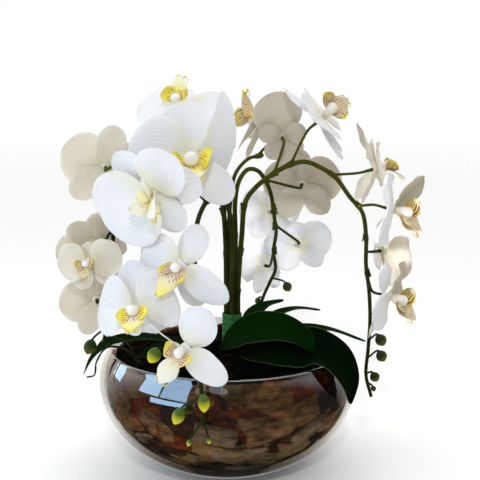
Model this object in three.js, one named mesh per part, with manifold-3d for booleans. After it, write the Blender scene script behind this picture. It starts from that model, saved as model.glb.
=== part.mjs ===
// A tabletop centerpiece: an arrangement of white moth orchids in a low round bowl of smoked glass.
// Units are millimetres and +Z is up. The origin is the middle of the flat foot of the bowl,
// and the arrangement is seen from -Y, with +X to the right.

import * as THREE from "three";
import * as BufferGeometryUtils from "three/addons/utils/BufferGeometryUtils.js";
import Module from "manifold-3d";

const wasm = await Module();
wasm.setup();

// Driving dimensions of the bowl
const BOWL_RADIUS = 125;
const BOWL_WIDEST_Z = 87;
const BOWL_LOWER_DEPTH = 93;
const BOWL_UPPER_DEPTH = 80;
const BOWL_RIM_Z = 117;
const BOWL_FOOT_RADIUS = 44;
const BOWL_WALL = 3.8;
const BOWL_FLOOR_Z = 5;
const BOWL_SEGMENTS = 32;

// Driving dimensions of what fills the bowl
const FOAM_RADIUS = 46;
const FOAM_BOTTOM_Z = 12;
const FOAM_TOP_Z = 95;
const BARK_TOP_Z = 97;
const BARK_TO_GLASS = 6.5;
const CHIP_TO_GLASS = 4.3;
const BARK_ROWS = [
  { height: 26, count: 8 },
  { height: 52, count: 11 },
  { height: 80, count: 13 },
];
const MOSS_EDGE_Z = 104;
const MOSS_MIDDLE_Z = 120;
const MOSS_BOTTOM_Z = 98;
const MOSS_INSET = 7;
const MOSS_ROUGHNESS = 1.6;
const SEAT_GAP = 0.3;
const HOLE_GAP = 0.3;

// Driving dimensions of the stem bundle and the flower spikes
const BUNDLE_X = 4.3;
const BUNDLE_RING = 5.7;
const STEM_RADIUS = 2.6;
const STEM_FOOT_Z = 40;
const SLEEVE_BOTTOM_Z = 122;
const SLEEVE_TOP_Z = 151;
const SLEEVE_WALL = 1;
const PEDICEL_RADIUS = 1.4;
const STALK_REACH = 14;
const STEM_STEPS = 16;

// Driving dimensions of one bloom at full size
const HUB_REACH = 4.2;
const HUB_HALF_DEPTH = 3.4;
const BLADE_THICKNESS = 0.9;
const LIP_THICKNESS = 1.2;
const LIP_GROWTH = 1.15;
const LAYERS = { petals: 1.9, dorsal: -0.9, leftSepal: -0.7, rightSepal: -2.3 };
const SEPAL = {
  rows: 3, length: 44, width: 33, widest: 1.05, claw: 1.4, tip: 1.8, tilt: -6, curl: 0.05, cup: -0.1,
};
const PETAL = {
  rows: 4, length: 46, width: 58, widest: 0.9, claw: 1.4, tip: 4, tilt: 4, curl: 0.1, cup: 0.08,
};
const DORSAL_TURN = 90;
const LATERAL_TURN = 142;
const PETAL_TURN = 82;

// Driving dimensions of the leaves
const LEAF_THICKNESS = 1.3;
const STALK_RADIUS = 2.2;
const STALK_FOOT_Z = 100;
const LEAF_ROOT_RISE = 3;

const COLOURS = {
  glass: { color: 0x4a352c, roughness: 0.05, metalness: 0.3 },
  foam: { color: 0x3d4a2a, roughness: 0.95, metalness: 0 },
  bark: { color: 0x5b3a27, roughness: 0.9, metalness: 0 },
  moss: { color: 0x15160e, roughness: 1, metalness: 0 },
  tape: { color: 0x3f8a4e, roughness: 0.6, metalness: 0 },
  stem: { color: 0x2e3a12, roughness: 0.55, metalness: 0 },
  petal: { color: 0xf1f0ee, roughness: 0.6, metalness: 0 },
  lip: { color: 0xe9d85f, roughness: 0.6, metalness: 0 },
  leaf: { color: 0x16330f, roughness: 0.4, metalness: 0 },
  root: { color: 0x3a4228, roughness: 0.7, metalness: 0 },
};

const arrangement = new THREE.Group();

function degrees(angle) {
  return THREE.MathUtils.degToRad(angle);
}

function vector([x, y, z]) {
  return new THREE.Vector3(x, y, z);
}

// A repeatable draw between two numbers, the same in every run.
function seededDraw(seed) {
  let state = seed;
  return (low, high) => {
    state = (state * 16807) % 2147483647;
    return low + ((high - low) * state) / 2147483647;
  };
}

function closedGeometry(geometry) {
  const bare = geometry.clone();
  bare.deleteAttribute("normal");
  bare.deleteAttribute("uv");
  return BufferGeometryUtils.mergeVertices(bare, 1e-4);
}

function toSolid(geometry) {
  const closed = closedGeometry(geometry);
  const vertProperties = new Float32Array(closed.attributes.position.array);
  const triVerts = new Uint32Array(closed.index.array);
  return new wasm.Manifold(new wasm.Mesh({ numProp: 3, vertProperties, triVerts }));
}

function toGeometry(solid) {
  const mesh = solid.getMesh();
  const geometry = new THREE.BufferGeometry();
  geometry.setAttribute("position", new THREE.BufferAttribute(mesh.vertProperties, 3));
  geometry.setIndex(new THREE.BufferAttribute(mesh.triVerts, 1));
  return geometry;
}

function fuse(geometries) {
  const solids = geometries.map(toSolid);
  return solids.reduce((whole, next) => whole.add(next));
}

function addPiece(parent, name, geometry, finish) {
  const flat = geometry.index ? geometry.toNonIndexed() : geometry;
  flat.computeVertexNormals();
  const mesh = new THREE.Mesh(flat, new THREE.MeshStandardMaterial(COLOURS[finish]));
  mesh.name = name;
  parent.add(mesh);
  return mesh;
}

// A tube along a smooth curve through the points, closed at both ends. radiusAt gives its radius
// at each share of its length, from 0 to 1.
function tube(points, radiusAt, sides, steps) {
  const section = new THREE.Shape();
  for (let i = 0; i < sides; i += 1) {
    const angle = (i / sides) * 2 * Math.PI;
    section[i === 0 ? "moveTo" : "lineTo"](Math.cos(angle), Math.sin(angle));
  }
  section.closePath();
  const extrudePath = new THREE.CatmullRomCurve3(points, false, "centripetal");
  const geometry = new THREE.ExtrudeGeometry(section, { steps, extrudePath, bevelEnabled: false });
  const middles = extrudePath.getSpacedPoints(steps);
  const corners = geometry.attributes.position;
  const corner = new THREE.Vector3();
  for (let k = 0; k < corners.count; k += 1) {
    corner.fromBufferAttribute(corners, k);
    const distances = middles.map((middle) => middle.distanceTo(corner));
    const ring = distances.indexOf(Math.min(...distances));
    corner.sub(middles[ring]).multiplyScalar(radiusAt(ring / steps)).add(middles[ring]);
    corners.setXYZ(k, corner.x, corner.y, corner.z);
  }
  return geometry;
}

// The corners and triangles of a thin blade over a grid, left open along its root. surface(t, s)
// gives the middle layer, with t from root to tip and s from one edge (-1) to the other (1).
// Both faces are split into triangles alike.
function openBlade(surface, rows, columns, thickness) {
  const step = 1e-3;
  const front = [];
  const back = [];
  for (let i = 0; i <= rows; i += 1) {
    const t = (1 - Math.cos((Math.PI * i) / rows)) / 2;
    for (let j = 0; j <= columns; j += 1) {
      const s = (2 * j) / columns - 1;
      const middle = surface(t, s);
      const alongStep = t > 0.5 ? -step : step;
      const acrossStep = s > 0 ? -step : step;
      const along = surface(t + alongStep, s).sub(middle).divideScalar(alongStep);
      const across = surface(t, s + acrossStep).sub(middle).divideScalar(acrossStep);
      const normal = across.cross(along).normalize();
      front.push(middle.clone().addScaledVector(normal, thickness / 2));
      back.push(middle.clone().addScaledVector(normal, -thickness / 2));
    }
  }
  const points = [...front, ...back];
  const width = columns + 1;
  const faces = [];
  for (let i = 0; i < rows; i += 1) {
    for (let j = 0; j < columns; j += 1) {
      const first = i * width + j;
      const corners = [first, first + 1, first + width + 1, first + width];
      const under = corners.map((corner) => corner + front.length);
      faces.push(corners[0], corners[1], corners[2], corners[0], corners[2], corners[3]);
      faces.push(under[0], under[2], under[1], under[0], under[3], under[2]);
    }
  }
  const edge = [];
  for (let i = 0; i < rows; i += 1) edge.push(i * width + columns);
  for (let j = columns; j > 0; j -= 1) edge.push(rows * width + j);
  for (let i = rows; i >= 0; i -= 1) edge.push(i * width);
  for (let k = 0; k + 1 < edge.length; k += 1) {
    const here = edge[k];
    const next = edge[k + 1];
    faces.push(here, here + front.length, next + front.length, here, next + front.length, next);
  }
  const root = [];
  for (let j = 0; j <= columns; j += 1) root.push(j);
  for (let j = columns; j >= 0; j -= 1) root.push(front.length + j);
  return { points, faces, root };
}

function meshOf(points, faces) {
  const geometry = new THREE.BufferGeometry();
  geometry.setAttribute("position", new THREE.Float32BufferAttribute(points.flatMap((p) => p.toArray()), 3));
  geometry.setIndex(faces);
  return geometry;
}

// A blade with its root closed as well.
function blade(surface, rows, columns, thickness) {
  const { points, faces, root } = openBlade(surface, rows, columns, thickness);
  const last = root.length - 1;
  for (let j = 0; j < columns; j += 1) {
    faces.push(root[j], root[last - j], root[j + 1], root[j + 1], root[last - j], root[last - j - 1]);
  }
  return meshOf(points, faces);
}

// Half the width of a rounded outline at t, from its root (0) to its tip (1).
function halfWidth(shape, t) {
  const round = 1 - Math.abs(2 * Math.min(1, Math.max(0, t)) ** shape.widest - 1) ** 2;
  const end = t < 0.5 ? shape.claw : shape.tip;
  return Math.max(end, (shape.width / 2) * Math.sqrt(Math.max(0, round)));
}

// One sepal or petal before it is turned into place. It grows along +Y from a side of the hub,
// and +Z is forward.
function tepalSurface(shape, layer, scale) {
  const swing = degrees(shape.tilt);
  const twist = degrees(shape.twist ?? 0);
  return (t, s) => {
    const across = s * halfWidth(shape, t) * (t < 0.02 ? 1 : scale);
    const along = t * shape.length * scale;
    const bend = shape.cup * ((2 * across ** 2) / shape.width) - shape.curl * shape.length * t * t;
    const grown = Math.min(1, 6 * t);
    const turned = twist * grown;
    const x = across * Math.cos(turned) - bend * Math.sin(turned) * grown;
    const lift = across * Math.sin(turned) + bend * Math.cos(turned) * grown;
    const y = HUB_REACH + along * Math.cos(swing) - lift * Math.sin(swing);
    const z = layer + along * Math.sin(swing) + lift * Math.cos(swing);
    return new THREE.Vector3(x, y, z);
  };
}

// The white part of a bloom: three sepals behind two broad petals. Each grows from its own side
// of a small hub, whose corners lie where the sides meet.
function bloomTepals({ size, dorsal, laterals, left, right }) {
  const tepals = [
    { turn: DORSAL_TURN, layer: LAYERS.dorsal, ...SEPAL, ...dorsal },
    { turn: DORSAL_TURN + PETAL_TURN, layer: LAYERS.petals, ...PETAL, ...left },
    { turn: DORSAL_TURN + LATERAL_TURN, layer: LAYERS.leftSepal, ...SEPAL, ...laterals },
    { turn: DORSAL_TURN - LATERAL_TURN + 360, layer: LAYERS.rightSepal, ...SEPAL, ...laterals },
    { turn: DORSAL_TURN - PETAL_TURN + 360, layer: LAYERS.petals, ...PETAL, ...right },
  ];
  const points = [];
  const faces = [];
  const count = tepals.length;
  const hubCorner = (k) => {
    const here = tepals[k];
    const next = tepals[(k + 1) % count];
    const half = degrees((((next.turn - here.turn) % 360) + 360) % 360) / 2;
    const angle = degrees(here.turn) + half;
    const reach = HUB_REACH / Math.cos(half);
    return [reach * Math.cos(angle), reach * Math.sin(angle)];
  };
  tepals.forEach((shape, k) => {
    const [x, y] = hubCorner(k);
    points.push(new THREE.Vector3(x, y, HUB_HALF_DEPTH), new THREE.Vector3(x, y, -HUB_HALF_DEPTH));
  });
  for (let k = 1; k + 1 < count; k += 1) {
    faces.push(0, 2 * k, 2 * (k + 1));
    faces.push(1, 2 * (k + 1) + 1, 2 * k + 1);
  }
  tepals.forEach((shape, k) => {
    const spin = new THREE.Matrix4().makeRotationZ(degrees(shape.turn - 90));
    const unspin = spin.clone().invert();
    const { points: own, faces: ownFaces, root } = openBlade(
      tepalSurface(shape, shape.layer, size), shape.rows, 2, BLADE_THICKNESS,
    );
    root.forEach((corner) => own[corner].setY(HUB_REACH));
    const before = 2 * ((k + count - 1) % count);
    const after = 2 * k;
    const side = [before + 1, before, after, after + 1];
    const sideOutline = side.map((corner) => {
      const flat = points[corner].clone().applyMatrix4(unspin);
      return new THREE.Vector2(flat.x, flat.z);
    });
    const rootOutline = root.map((corner) => new THREE.Vector2(own[corner].x, own[corner].z));
    const offset = points.length;
    const ringCorners = [...side, ...root.map((corner) => corner + offset)];
    const clockwise = THREE.ShapeUtils.isClockWise(sideOutline);
    THREE.ShapeUtils.triangulateShape(sideOutline, [rootOutline]).forEach(([a, b, c]) => {
      const order = clockwise ? [a, b, c] : [a, c, b];
      faces.push(...order.map((corner) => ringCorners[corner]));
    });
    points.push(...own.map((point) => point.applyMatrix4(spin)));
    faces.push(...ownFaces.map((corner) => corner + offset));
  });
  return meshOf(points, faces);
}

// The coloured part of a bloom: a round-capped column, a middle lobe that hangs down in front of
// it, and a side lobe that stands up on either side.
function bloomLip({ size, droop = 14, lip = LIP_GROWTH, lipTurn = 0 }) {
  const front = HUB_HALF_DEPTH + SEAT_GAP;
  const scale = size * lip;
  const placed = (x, y, z) => new THREE.Vector3(x * scale, y * scale, z * scale + front);
  const profile = [[0, 0], [3, 0], [5.4, 8.5], [0, 13.5]];
  const column = new THREE.LatheGeometry(profile.map(([r, z]) => new THREE.Vector2(r, z)), 5);
  column.rotateX(Math.PI / 2).scale(scale, scale, scale).translate(0, 0, front);
  const middle = (t, s) => {
    const x = s * (2.5 + 8 * Math.sin(2.7 * t));
    return placed(x, -2.4 - droop * t * Math.abs(t) ** 0.5, 2.4 + 20 * t);
  };
  const sideLobe = (hand) => (t, s) => {
    const wide = 2.4 + 5.2 * Math.sin(2.5 * t);
    const y = -2.6 + 7.5 * t * Math.abs(t) + 0.7 * s * wide;
    return placed(hand * (1 + 14 * t), y, 6.4 + 5.4 * t - 0.6 * s * wide);
  };
  return fuse([
    column,
    blade(middle, 2, 2, LIP_THICKNESS),
    blade(sideLobe(1), 2, 1, LIP_THICKNESS),
    blade(sideLobe(-1), 2, 1, LIP_THICKNESS),
  ]).rotate([0, 0, lipTurn]);
}

// The way a bloom faces: yaw 0 looks at -Y, positive yaw turns to +X, and pitch lifts the face.
function facing(bloom) {
  const yaw = degrees(bloom.yaw);
  const pitch = degrees(bloom.pitch);
  return new THREE.Vector3(
    Math.sin(yaw) * Math.cos(pitch),
    -Math.cos(yaw) * Math.cos(pitch),
    Math.sin(pitch),
  );
}

// Where the dorsal sepal points, by an angle in the picture plane XZ, square to the way it faces.
function bloomBasis(bloom) {
  const forward = facing(bloom);
  const up = new THREE.Vector3(Math.cos(degrees(bloom.up)), 0, Math.sin(degrees(bloom.up)));
  up.addScaledVector(forward, -up.dot(forward)).normalize();
  const side = new THREE.Vector3().crossVectors(up, forward);
  const roll = new THREE.Matrix4().makeRotationZ(degrees(bloom.roll ?? 0));
  return new THREE.Matrix4().makeBasis(side, up, forward).multiply(roll);
}

// The blooms of each spike. at is how far along the spike its stalk leaves, from 0 to 1, and via
// leads a long stalk round what is in its way. reach is how far a stalk runs straight behind its
// bloom, droop how far the middle lobe hangs, and roll turns a bloom about the way it faces. The
// turns of single petals are measured in the bloom, where the dorsal sepal stands at 90 degrees.
const BLOOMS = {
  left: [
    { hub: [-43, -22, 350], yaw: -25, pitch: 52, up: 262, size: 0.88, at: 0.4 },
    { hub: [-110, -45, 298], yaw: 188, pitch: 4, up: 76, size: 0.84, at: 0.58 },
    {
      hub: [-60, -132, 288], yaw: -26, pitch: -16, up: 156, size: 1, at: 0.63, lip: 1.25,
      via: [[-80, -112, 279]], reach: 6,
      left: { turn: 155, width: 72, length: 58, tilt: 8 },
      right: { turn: -2, width: 48, length: 38 },
      laterals: { length: 40 },
    },
    { hub: [-124, -50, 229], yaw: 200, pitch: 20, up: 128, size: 0.68, at: 0.75 },
    {
      hub: [-120, -90, 219], yaw: -14, pitch: 0, up: 100, size: 0.6, at: 0.82,
      dorsal: { length: 24, width: 24 },
    },
    { hub: [-119, -58, 178], yaw: 190, pitch: 4, up: 106, size: 0.68, at: 0.905 },
    {
      hub: [-75, -136, 187], yaw: -10, pitch: 10, up: 101, size: 0.9, at: 0.83,
      left: { turn: 162, tilt: -4, length: 35, width: 58, widest: 1.4 },
      right: { turn: 20, tilt: -4, length: 36, width: 62, widest: 1.4 },
      laterals: { tilt: -30, length: 28, width: 24, widest: 1.4 },
    },
  ],
  front: [
    {
      hub: [-30, -102, 310], yaw: 4, pitch: 6, up: 96, size: 1.1, at: 0.43, lip: 1.25, droop: 11,
      via: [[-38, -66, 290]],
      dorsal: { width: 44 },
      left: { turn: 166, width: 62 },
      right: {
        turn: 4, tilt: -22, twist: -40, width: 94, length: 38,
        widest: 1.8, curl: 0.17, cup: -0.28, layer: -2.6,
      },
      laterals: { length: 42, width: 28, tilt: 6 },
    },
    {
      hub: [-37, -130, 223], yaw: -24, pitch: 4, up: 66, size: 0.8, at: 0.67, droop: 25,
      left: { turn: 190 },
      right: { turn: -10, tilt: 0, width: 34, length: 58 },
      laterals: { tilt: -16 },
    },
    {
      hub: [-33, -157, 160], yaw: -26, pitch: -10, up: 58, size: 0.82, at: 0.84, droop: 26,
      dorsal: { width: 42, length: 44 },
      left: { turn: 190, twist: 50, width: 24, tilt: -4, widest: 1.6 },
      right: { turn: -10, tilt: 0, width: 38, length: 50 },
      laterals: { tilt: -20, length: 30, width: 18, widest: 1.8 },
    },
  ],
  top: [{ hub: [31, 45, 330], yaw: -104, pitch: 34, up: 300, size: 0.8, at: 0.97, lip: 1.6 }],
  right: [
    {
      hub: [52, 12, 321], yaw: 186, pitch: 12, up: 19, size: 0.8, at: 0.34,
      dorsal: { length: 26, width: 26 },
      left: { length: 30, width: 40 },
      right: { length: 52, width: 60 },
      laterals: { length: 26, width: 24 },
    },
    {
      hub: [88, -10, 340], yaw: 78, pitch: 42, up: 136, size: 0.95, at: 0.38, lip: 1.2, lipTurn: 76,
      laterals: { length: 46 },
    },
    {
      hub: [144, 18, 290], yaw: 92, pitch: 14, up: 105, size: 0.84, at: 0.478,
      dorsal: { length: 54 },
      laterals: { tilt: -34, width: 26 },
    },
    {
      hub: [153, -30, 257], yaw: 70, pitch: -12, up: 84, size: 0.86, at: 0.566, roll: 35, lip: 1.4,
      right: { tilt: 26, length: 52, width: 50 },
    },
    {
      hub: [154, 24, 208], yaw: 108, pitch: 0, up: 96, size: 0.76, at: 0.64, roll: 24,
      left: { tilt: 25 },
      right: { tilt: 25 },
      laterals: { tilt: 18, length: 48 },
    },
    {
      hub: [152, -30, 174], yaw: 64, pitch: -12, up: 80, size: 0.8, at: 0.718, roll: 30, lip: 1.4,
      laterals: { length: 50 },
    },
  ],
  back: [
    { hub: [76, 78, 268], yaw: 168, pitch: 8, up: 96, size: 0.82, at: 0.562 },
    { hub: [44, 102, 236], yaw: 200, pitch: 0, up: 86, size: 0.7, at: 0.666 },
    { hub: [73, 76, 206], yaw: 172, pitch: -18, up: 100, size: 0.68, at: 0.726, dorsal: { length: 28 } },
    { hub: [36, 92, 180], yaw: 226, pitch: 0, up: 92, size: 0.64, at: 0.806, reach: 6 },
  ],
};

// The spikes: where each stands in the bundle, the way of its stem above it, and its buds.
const SPIKES = {
  front: {
    slot: 0,
    path: [
      [4.3, -5, 225], [1, -9, 255], [-6, -24, 268], [-14, -44, 271], [-21, -61, 264], [-26, -78, 251],
      [-27, -93, 235], [-27, -106, 213], [-25, -118, 182], [-23, -129, 154], [-22, -132, 128],
      [-20, -133, 102], [-19, -133, 84],
    ],
    buds: [
      { tip: [-62, -124, 144], size: [6, 7.5], at: 0.86 },
      { tip: [-19, -138, 106], size: [5.2, 8], at: 0.875 },
      { tip: [-41, -134, 93], size: [5.6, 8], at: 0.93 },
      { tip: [-32, -134, 69], size: [2.2, 3.4], at: 0.985 },
      { tip: [-15, -132, 70], size: [2, 3], at: 0.99 },
    ],
  },
  right: {
    slot: 1,
    path: [
      [13.5, -1, 225], [17.7, 0, 261], [27.3, 1, 274], [40.6, 0, 285], [57.5, -3, 295], [73.4, -6, 299],
      [87.5, -8, 294], [101.6, -10, 285], [115.9, -12, 266], [127.5, -12, 252], [131.7, -12, 230],
      [132.3, -12, 201], [135.7, -12, 176], [137.3, -12, 147], [136, -12, 117], [134.5, -12, 92],
      [140, -12, 70],
    ],
    buds: [
      { tip: [148, -12, 127], size: [5.6, 6.4], at: 0.868 },
      { tip: [149, -12, 111], size: [5.4, 6], at: 0.91 },
      { tip: [143, -12, 90], size: [4.8, 5.2], at: 0.945 },
      { tip: [142, -12, 78], size: [2.6, 3], at: 0.965 },
    ],
  },
  back: {
    slot: 2,
    path: [
      [7.5, 5, 225], [7.5, 5, 262], [11, 8, 279], [19, 16, 289], [29, 28, 287], [37, 40, 276], [43, 48, 261],
      [46.5, 51, 238], [48.5, 52, 222], [46, 52, 202], [48, 51, 184], [42, 50, 170], [36.6, 49, 158],
      [32.5, 48, 146],
    ],
    buds: [
      { tip: [60, 50, 166], size: [4.8, 5.4], at: 0.9 },
      { tip: [30, 48, 152], size: [3, 3.6], at: 0.97 },
    ],
  },
  top: {
    slot: 3,
    path: [[1, 7, 225], [3, 9, 262], [7, 14, 284], [14, 20, 294], [23, 27, 300], [33, 34, 300]],
    buds: [],
  },
  left: {
    slot: 4,
    path: [
      [-2, 0, 225], [-5, 0, 258], [-14, -4, 288], [-34, -14, 314], [-60, -32, 322], [-82, -50, 314],
      [-95, -62, 296], [-100, -70, 262], [-102, -72, 226], [-104, -72, 207], [-107, -72, 184],
      [-109, -70, 160], [-112, -68, 142],
    ],
    buds: [
      { tip: [-125, -68, 136], size: [6, 7.5], at: 0.97 },
    ],
  },
};

// The middle line of each leaf from its root, which stands on the moss, with half its greatest
// width and the way its face looks at its root and at its tip.
const LEAVES = {
  leaf_right_front: {
    line: [[-6, -23], [6, -27, 133], [22, -33, 142], [50, -46, 146], [70, -60, 141], [79, -70, 132]],
    half: 20,
    face: [[0.1, -0.5, 0.85], [0.12, -0.66, 0.74]],
  },
  leaf_over_rim: {
    line: [
      [14, -42], [36, -48, 126], [62, -54, 129], [84, -60, 129.5], [100, -68, 123], [112, -73, 104],
      [114, -70, 82],
    ],
    half: 26,
    face: [[0.1, -0.4, 0.9], [0.7, -0.6, 0.4]],
  },
  leaf_back_short: {
    line: [[14, 18], [22, 22, 138], [36, 30, 150], [56, 38, 155]],
    half: 13,
    face: [[-0.2, -0.1, 0.97], [-0.2, -0.1, 0.97]],
  },
  leaf_back_middle: {
    line: [[26, 8], [40, 14, 140], [66, 20, 150], [92, 24, 148]],
    half: 9,
    face: [[-0.1, -0.05, 0.99], [-0.1, -0.05, 0.99]],
  },
  leaf_right_long: {
    line: [[30, -12], [52, -6, 134], [94, -4, 136], [134, -6, 124]],
    half: 8,
    face: [[0.1, -0.1, 0.99], [0.1, -0.1, 0.99]],
  },
  leaf_left: {
    line: [
      [-30, -14], [-56, -20, 129], [-86, -26, 133], [-112, -30, 129], [-128, -31, 116],
      [-137, -32, 99],
    ],
    half: 9,
    face: [[-0.12, -0.2, 0.97], [-0.12, -0.2, 0.97]],
  },
  leaf_left_short: {
    line: [[-22, -34], [-44, -40, 124], [-64, -48, 126], [-86, -56, 122]],
    half: 10,
    face: [[-0.1, -0.3, 0.95], [-0.1, -0.3, 0.95]],
  },
};

// The thin aerial roots: their common foot in the moss, and the way of each over the rim.
const ROOT_FOOT = [-84, -42];
const ROOT_RADIUS = 1.2;
const ROOTS = [
  [[-94, -41, 131], [-113, -40, 137], [-126, -44, 122], [-133, -46, 107]],
  [[-94, -43, 125], [-112, -45, 129], [-122, -49, 116], [-124, -52, 104], [-131, -52, 102]],
];

// Where the stem of a slot stands in the ring of five that the sleeve holds together.
function bundlePlace(slot) {
  const angle = degrees(-90 + 72 * slot);
  return [BUNDLE_X + BUNDLE_RING * Math.cos(angle), BUNDLE_RING * Math.sin(angle)];
}

// The radius of the bowl at a height, measured so far inside its outer face. The bowl is two half
// ellipses that meet at the widest height.
function bowlRadius(z, inset = 0) {
  const depth = (z < BOWL_WIDEST_Z ? BOWL_LOWER_DEPTH : BOWL_UPPER_DEPTH) - inset;
  return (BOWL_RADIUS - inset) * Math.sqrt(1 - ((z - BOWL_WIDEST_Z) / depth) ** 2);
}

function buildBowl() {
  const profile = [new THREE.Vector2(0, 0)];
  const levels = 7;
  const levelZ = (i, lowest) => lowest + (BOWL_RIM_Z - lowest) * (i / levels) ** 1.35;
  for (let i = 0; i <= levels; i += 1) {
    const z = levelZ(i, 0);
    profile.push(new THREE.Vector2(bowlRadius(z), z));
  }
  const rimMiddle = bowlRadius(BOWL_RIM_Z, BOWL_WALL / 2);
  profile.push(new THREE.Vector2(rimMiddle, BOWL_RIM_Z + BOWL_WALL / 2.5));
  for (let i = levels; i >= 0; i -= 1) {
    const z = levelZ(i, BOWL_FLOOR_Z);
    profile.push(new THREE.Vector2(bowlRadius(z, BOWL_WALL), z));
  }
  profile.push(new THREE.Vector2(0, BOWL_FLOOR_Z));
  const bowl = new THREE.LatheGeometry(profile, BOWL_SEGMENTS).rotateX(Math.PI / 2);
  addPiece(arrangement, "glass_bowl", bowl, "glass");
}

// A plain round hole from bottom to top whose flat sides all clear a stem of this radius.
function hole([x, y], bottom, top, stemRadius) {
  const sides = 8;
  const radius = (stemRadius + HOLE_GAP) / Math.cos(Math.PI / sides);
  const bore = new THREE.CylinderGeometry(radius, radius, top - bottom, sides);
  return toSolid(bore.rotateX(Math.PI / 2).translate(x, y, (top + bottom) / 2));
}

function stemHoles(bottom, top) {
  return Object.values(SPIKES).map(({ slot }) => hole(bundlePlace(slot), bottom, top, STEM_RADIUS));
}

// A block of dry foam in the middle of the bowl, in which the spikes stand.
function buildFoam() {
  const block = new THREE.CylinderGeometry(FOAM_RADIUS, FOAM_RADIUS - 12, FOAM_TOP_Z - FOAM_BOTTOM_Z, 20);
  block.rotateX(Math.PI / 2).translate(0, 0, (FOAM_TOP_Z + FOAM_BOTTOM_Z) / 2);
  const holes = stemHoles(STEM_FOOT_Z - SEAT_GAP, FOAM_TOP_Z + 5);
  const drilled = holes.reduce((whole, bore) => whole.subtract(bore), toSolid(block));
  addPiece(arrangement, "floral_foam", toGeometry(drilled), "foam");
}

// Bark chips round the foam: flat irregular slabs that lie along the glass, sunk into a ring of bark.
function buildBark() {
  const draw = seededDraw(41);
  const innerRadius = FOAM_RADIUS + 1;
  const lowest = BOWL_FLOOR_Z + 1;
  const ringInset = BOWL_WALL + BARK_TO_GLASS;
  const ringHeights = [14, 26, 44, 66, BOWL_WIDEST_Z, BARK_TOP_Z];
  const ringOuter = ringHeights.map((z) => new THREE.Vector2(bowlRadius(z, ringInset), z));
  const profile = [
    new THREE.Vector2(0, lowest),
    new THREE.Vector2(BOWL_FOOT_RADIUS - 10, lowest),
    ...ringOuter,
    new THREE.Vector2(innerRadius, BARK_TOP_Z),
    new THREE.Vector2(innerRadius, 40),
    new THREE.Vector2(FOAM_RADIUS - 10, FOAM_BOTTOM_Z - SEAT_GAP),
    new THREE.Vector2(0, FOAM_BOTTOM_Z - SEAT_GAP),
  ];
  const pieces = [new THREE.LatheGeometry(profile, 20).rotateX(Math.PI / 2)];
  BARK_ROWS.forEach(({ height, count }, row) => {
    for (let i = 0; i < count; i += 1) {
      const z = height + draw(-3, 3);
      const angle = ((i + (row % 2) / 2 + draw(-0.18, 0.18)) / count) * 2 * Math.PI;
      const thickness = draw(7, 9);
      const chip = new THREE.BoxGeometry(draw(28, 38), draw(13, 20), thickness);
      const corners = chip.attributes.position;
      const skew = draw(-4, 4);
      for (let k = 0; k < corners.count; k += 1) {
        corners.setX(k, corners.getX(k) + (corners.getY(k) > 0 ? skew : -skew));
      }
      const inset = BOWL_WALL + CHIP_TO_GLASS + thickness / 2 + draw(0, 1.4);
      const slope = Math.atan2(bowlRadius(z + 2, inset) - bowlRadius(z - 2, inset), 4);
      chip.rotateZ(draw(-0.3, 0.3)).rotateX(Math.PI / 2).rotateZ(Math.PI / 2).rotateY(slope);
      chip.translate(bowlRadius(z, inset), 0, z);
      pieces.push(chip.rotateZ(angle));
    }
  });
  addPiece(arrangement, "bark_chips", toGeometry(fuse(pieces)), "bark");
}

// The height of the moss at a distance from the middle of the bowl, before it is roughened.
function mossTop(radius) {
  const share = Math.min(1, radius / bowlRadius(MOSS_EDGE_Z, MOSS_INSET));
  return MOSS_EDGE_Z + (MOSS_MIDDLE_Z - MOSS_EDGE_Z) * (1 - share ** 1.6);
}

// A rough mound of moss over the bark, with a plain hole for every stem and every leaf stalk.
function buildMoss() {
  const draw = seededDraw(97);
  const rings = 3;
  const segments = 20;
  const edgeRadius = bowlRadius(MOSS_EDGE_Z, MOSS_INSET);
  const profile = [new THREE.Vector2(0, MOSS_BOTTOM_Z), new THREE.Vector2(edgeRadius, MOSS_BOTTOM_Z)];
  for (let i = rings; i >= 0; i -= 1) {
    const radius = (edgeRadius * i) / rings;
    profile.push(new THREE.Vector2(radius, mossTop(radius)));
  }
  const mound = closedGeometry(new THREE.LatheGeometry(profile, segments).rotateX(Math.PI / 2));
  const points = mound.attributes.position;
  for (let k = 0; k < points.count; k += 1) {
    const z = points.getZ(k);
    if (z > MOSS_BOTTOM_Z + 1) points.setZ(k, z + draw(-MOSS_ROUGHNESS, MOSS_ROUGHNESS));
  }
  const high = MOSS_MIDDLE_Z + 10;
  const feet = [...Object.values(LEAVES).map(({ line }) => line[0]), ROOT_FOOT];
  const holes = [
    ...stemHoles(MOSS_BOTTOM_Z - 5, high),
    ...feet.map((foot) => hole(foot, STALK_FOOT_Z - SEAT_GAP, high, STALK_RADIUS)),
  ];
  const drilled = holes.reduce((whole, bore) => whole.subtract(bore), toSolid(mound));
  addPiece(arrangement, "moss", toGeometry(drilled), "moss");
}

// A band of florist's tape that holds the five stems together above the moss.
function buildSleeve() {
  const sides = 16;
  const inner = (BUNDLE_RING + STEM_RADIUS + SEAT_GAP) / Math.cos(Math.PI / sides);
  const outer = inner + SLEEVE_WALL;
  const profile = [
    new THREE.Vector2(inner, SLEEVE_BOTTOM_Z),
    new THREE.Vector2(outer, SLEEVE_BOTTOM_Z),
    new THREE.Vector2(outer, SLEEVE_TOP_Z),
    new THREE.Vector2(inner, SLEEVE_TOP_Z),
    new THREE.Vector2(inner, SLEEVE_BOTTOM_Z),
  ];
  const band = new THREE.LatheGeometry(profile, sides).rotateX(Math.PI / 2).translate(BUNDLE_X, 0, 0);
  addPiece(arrangement, "tape_sleeve", band, "tape");
}

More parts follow.
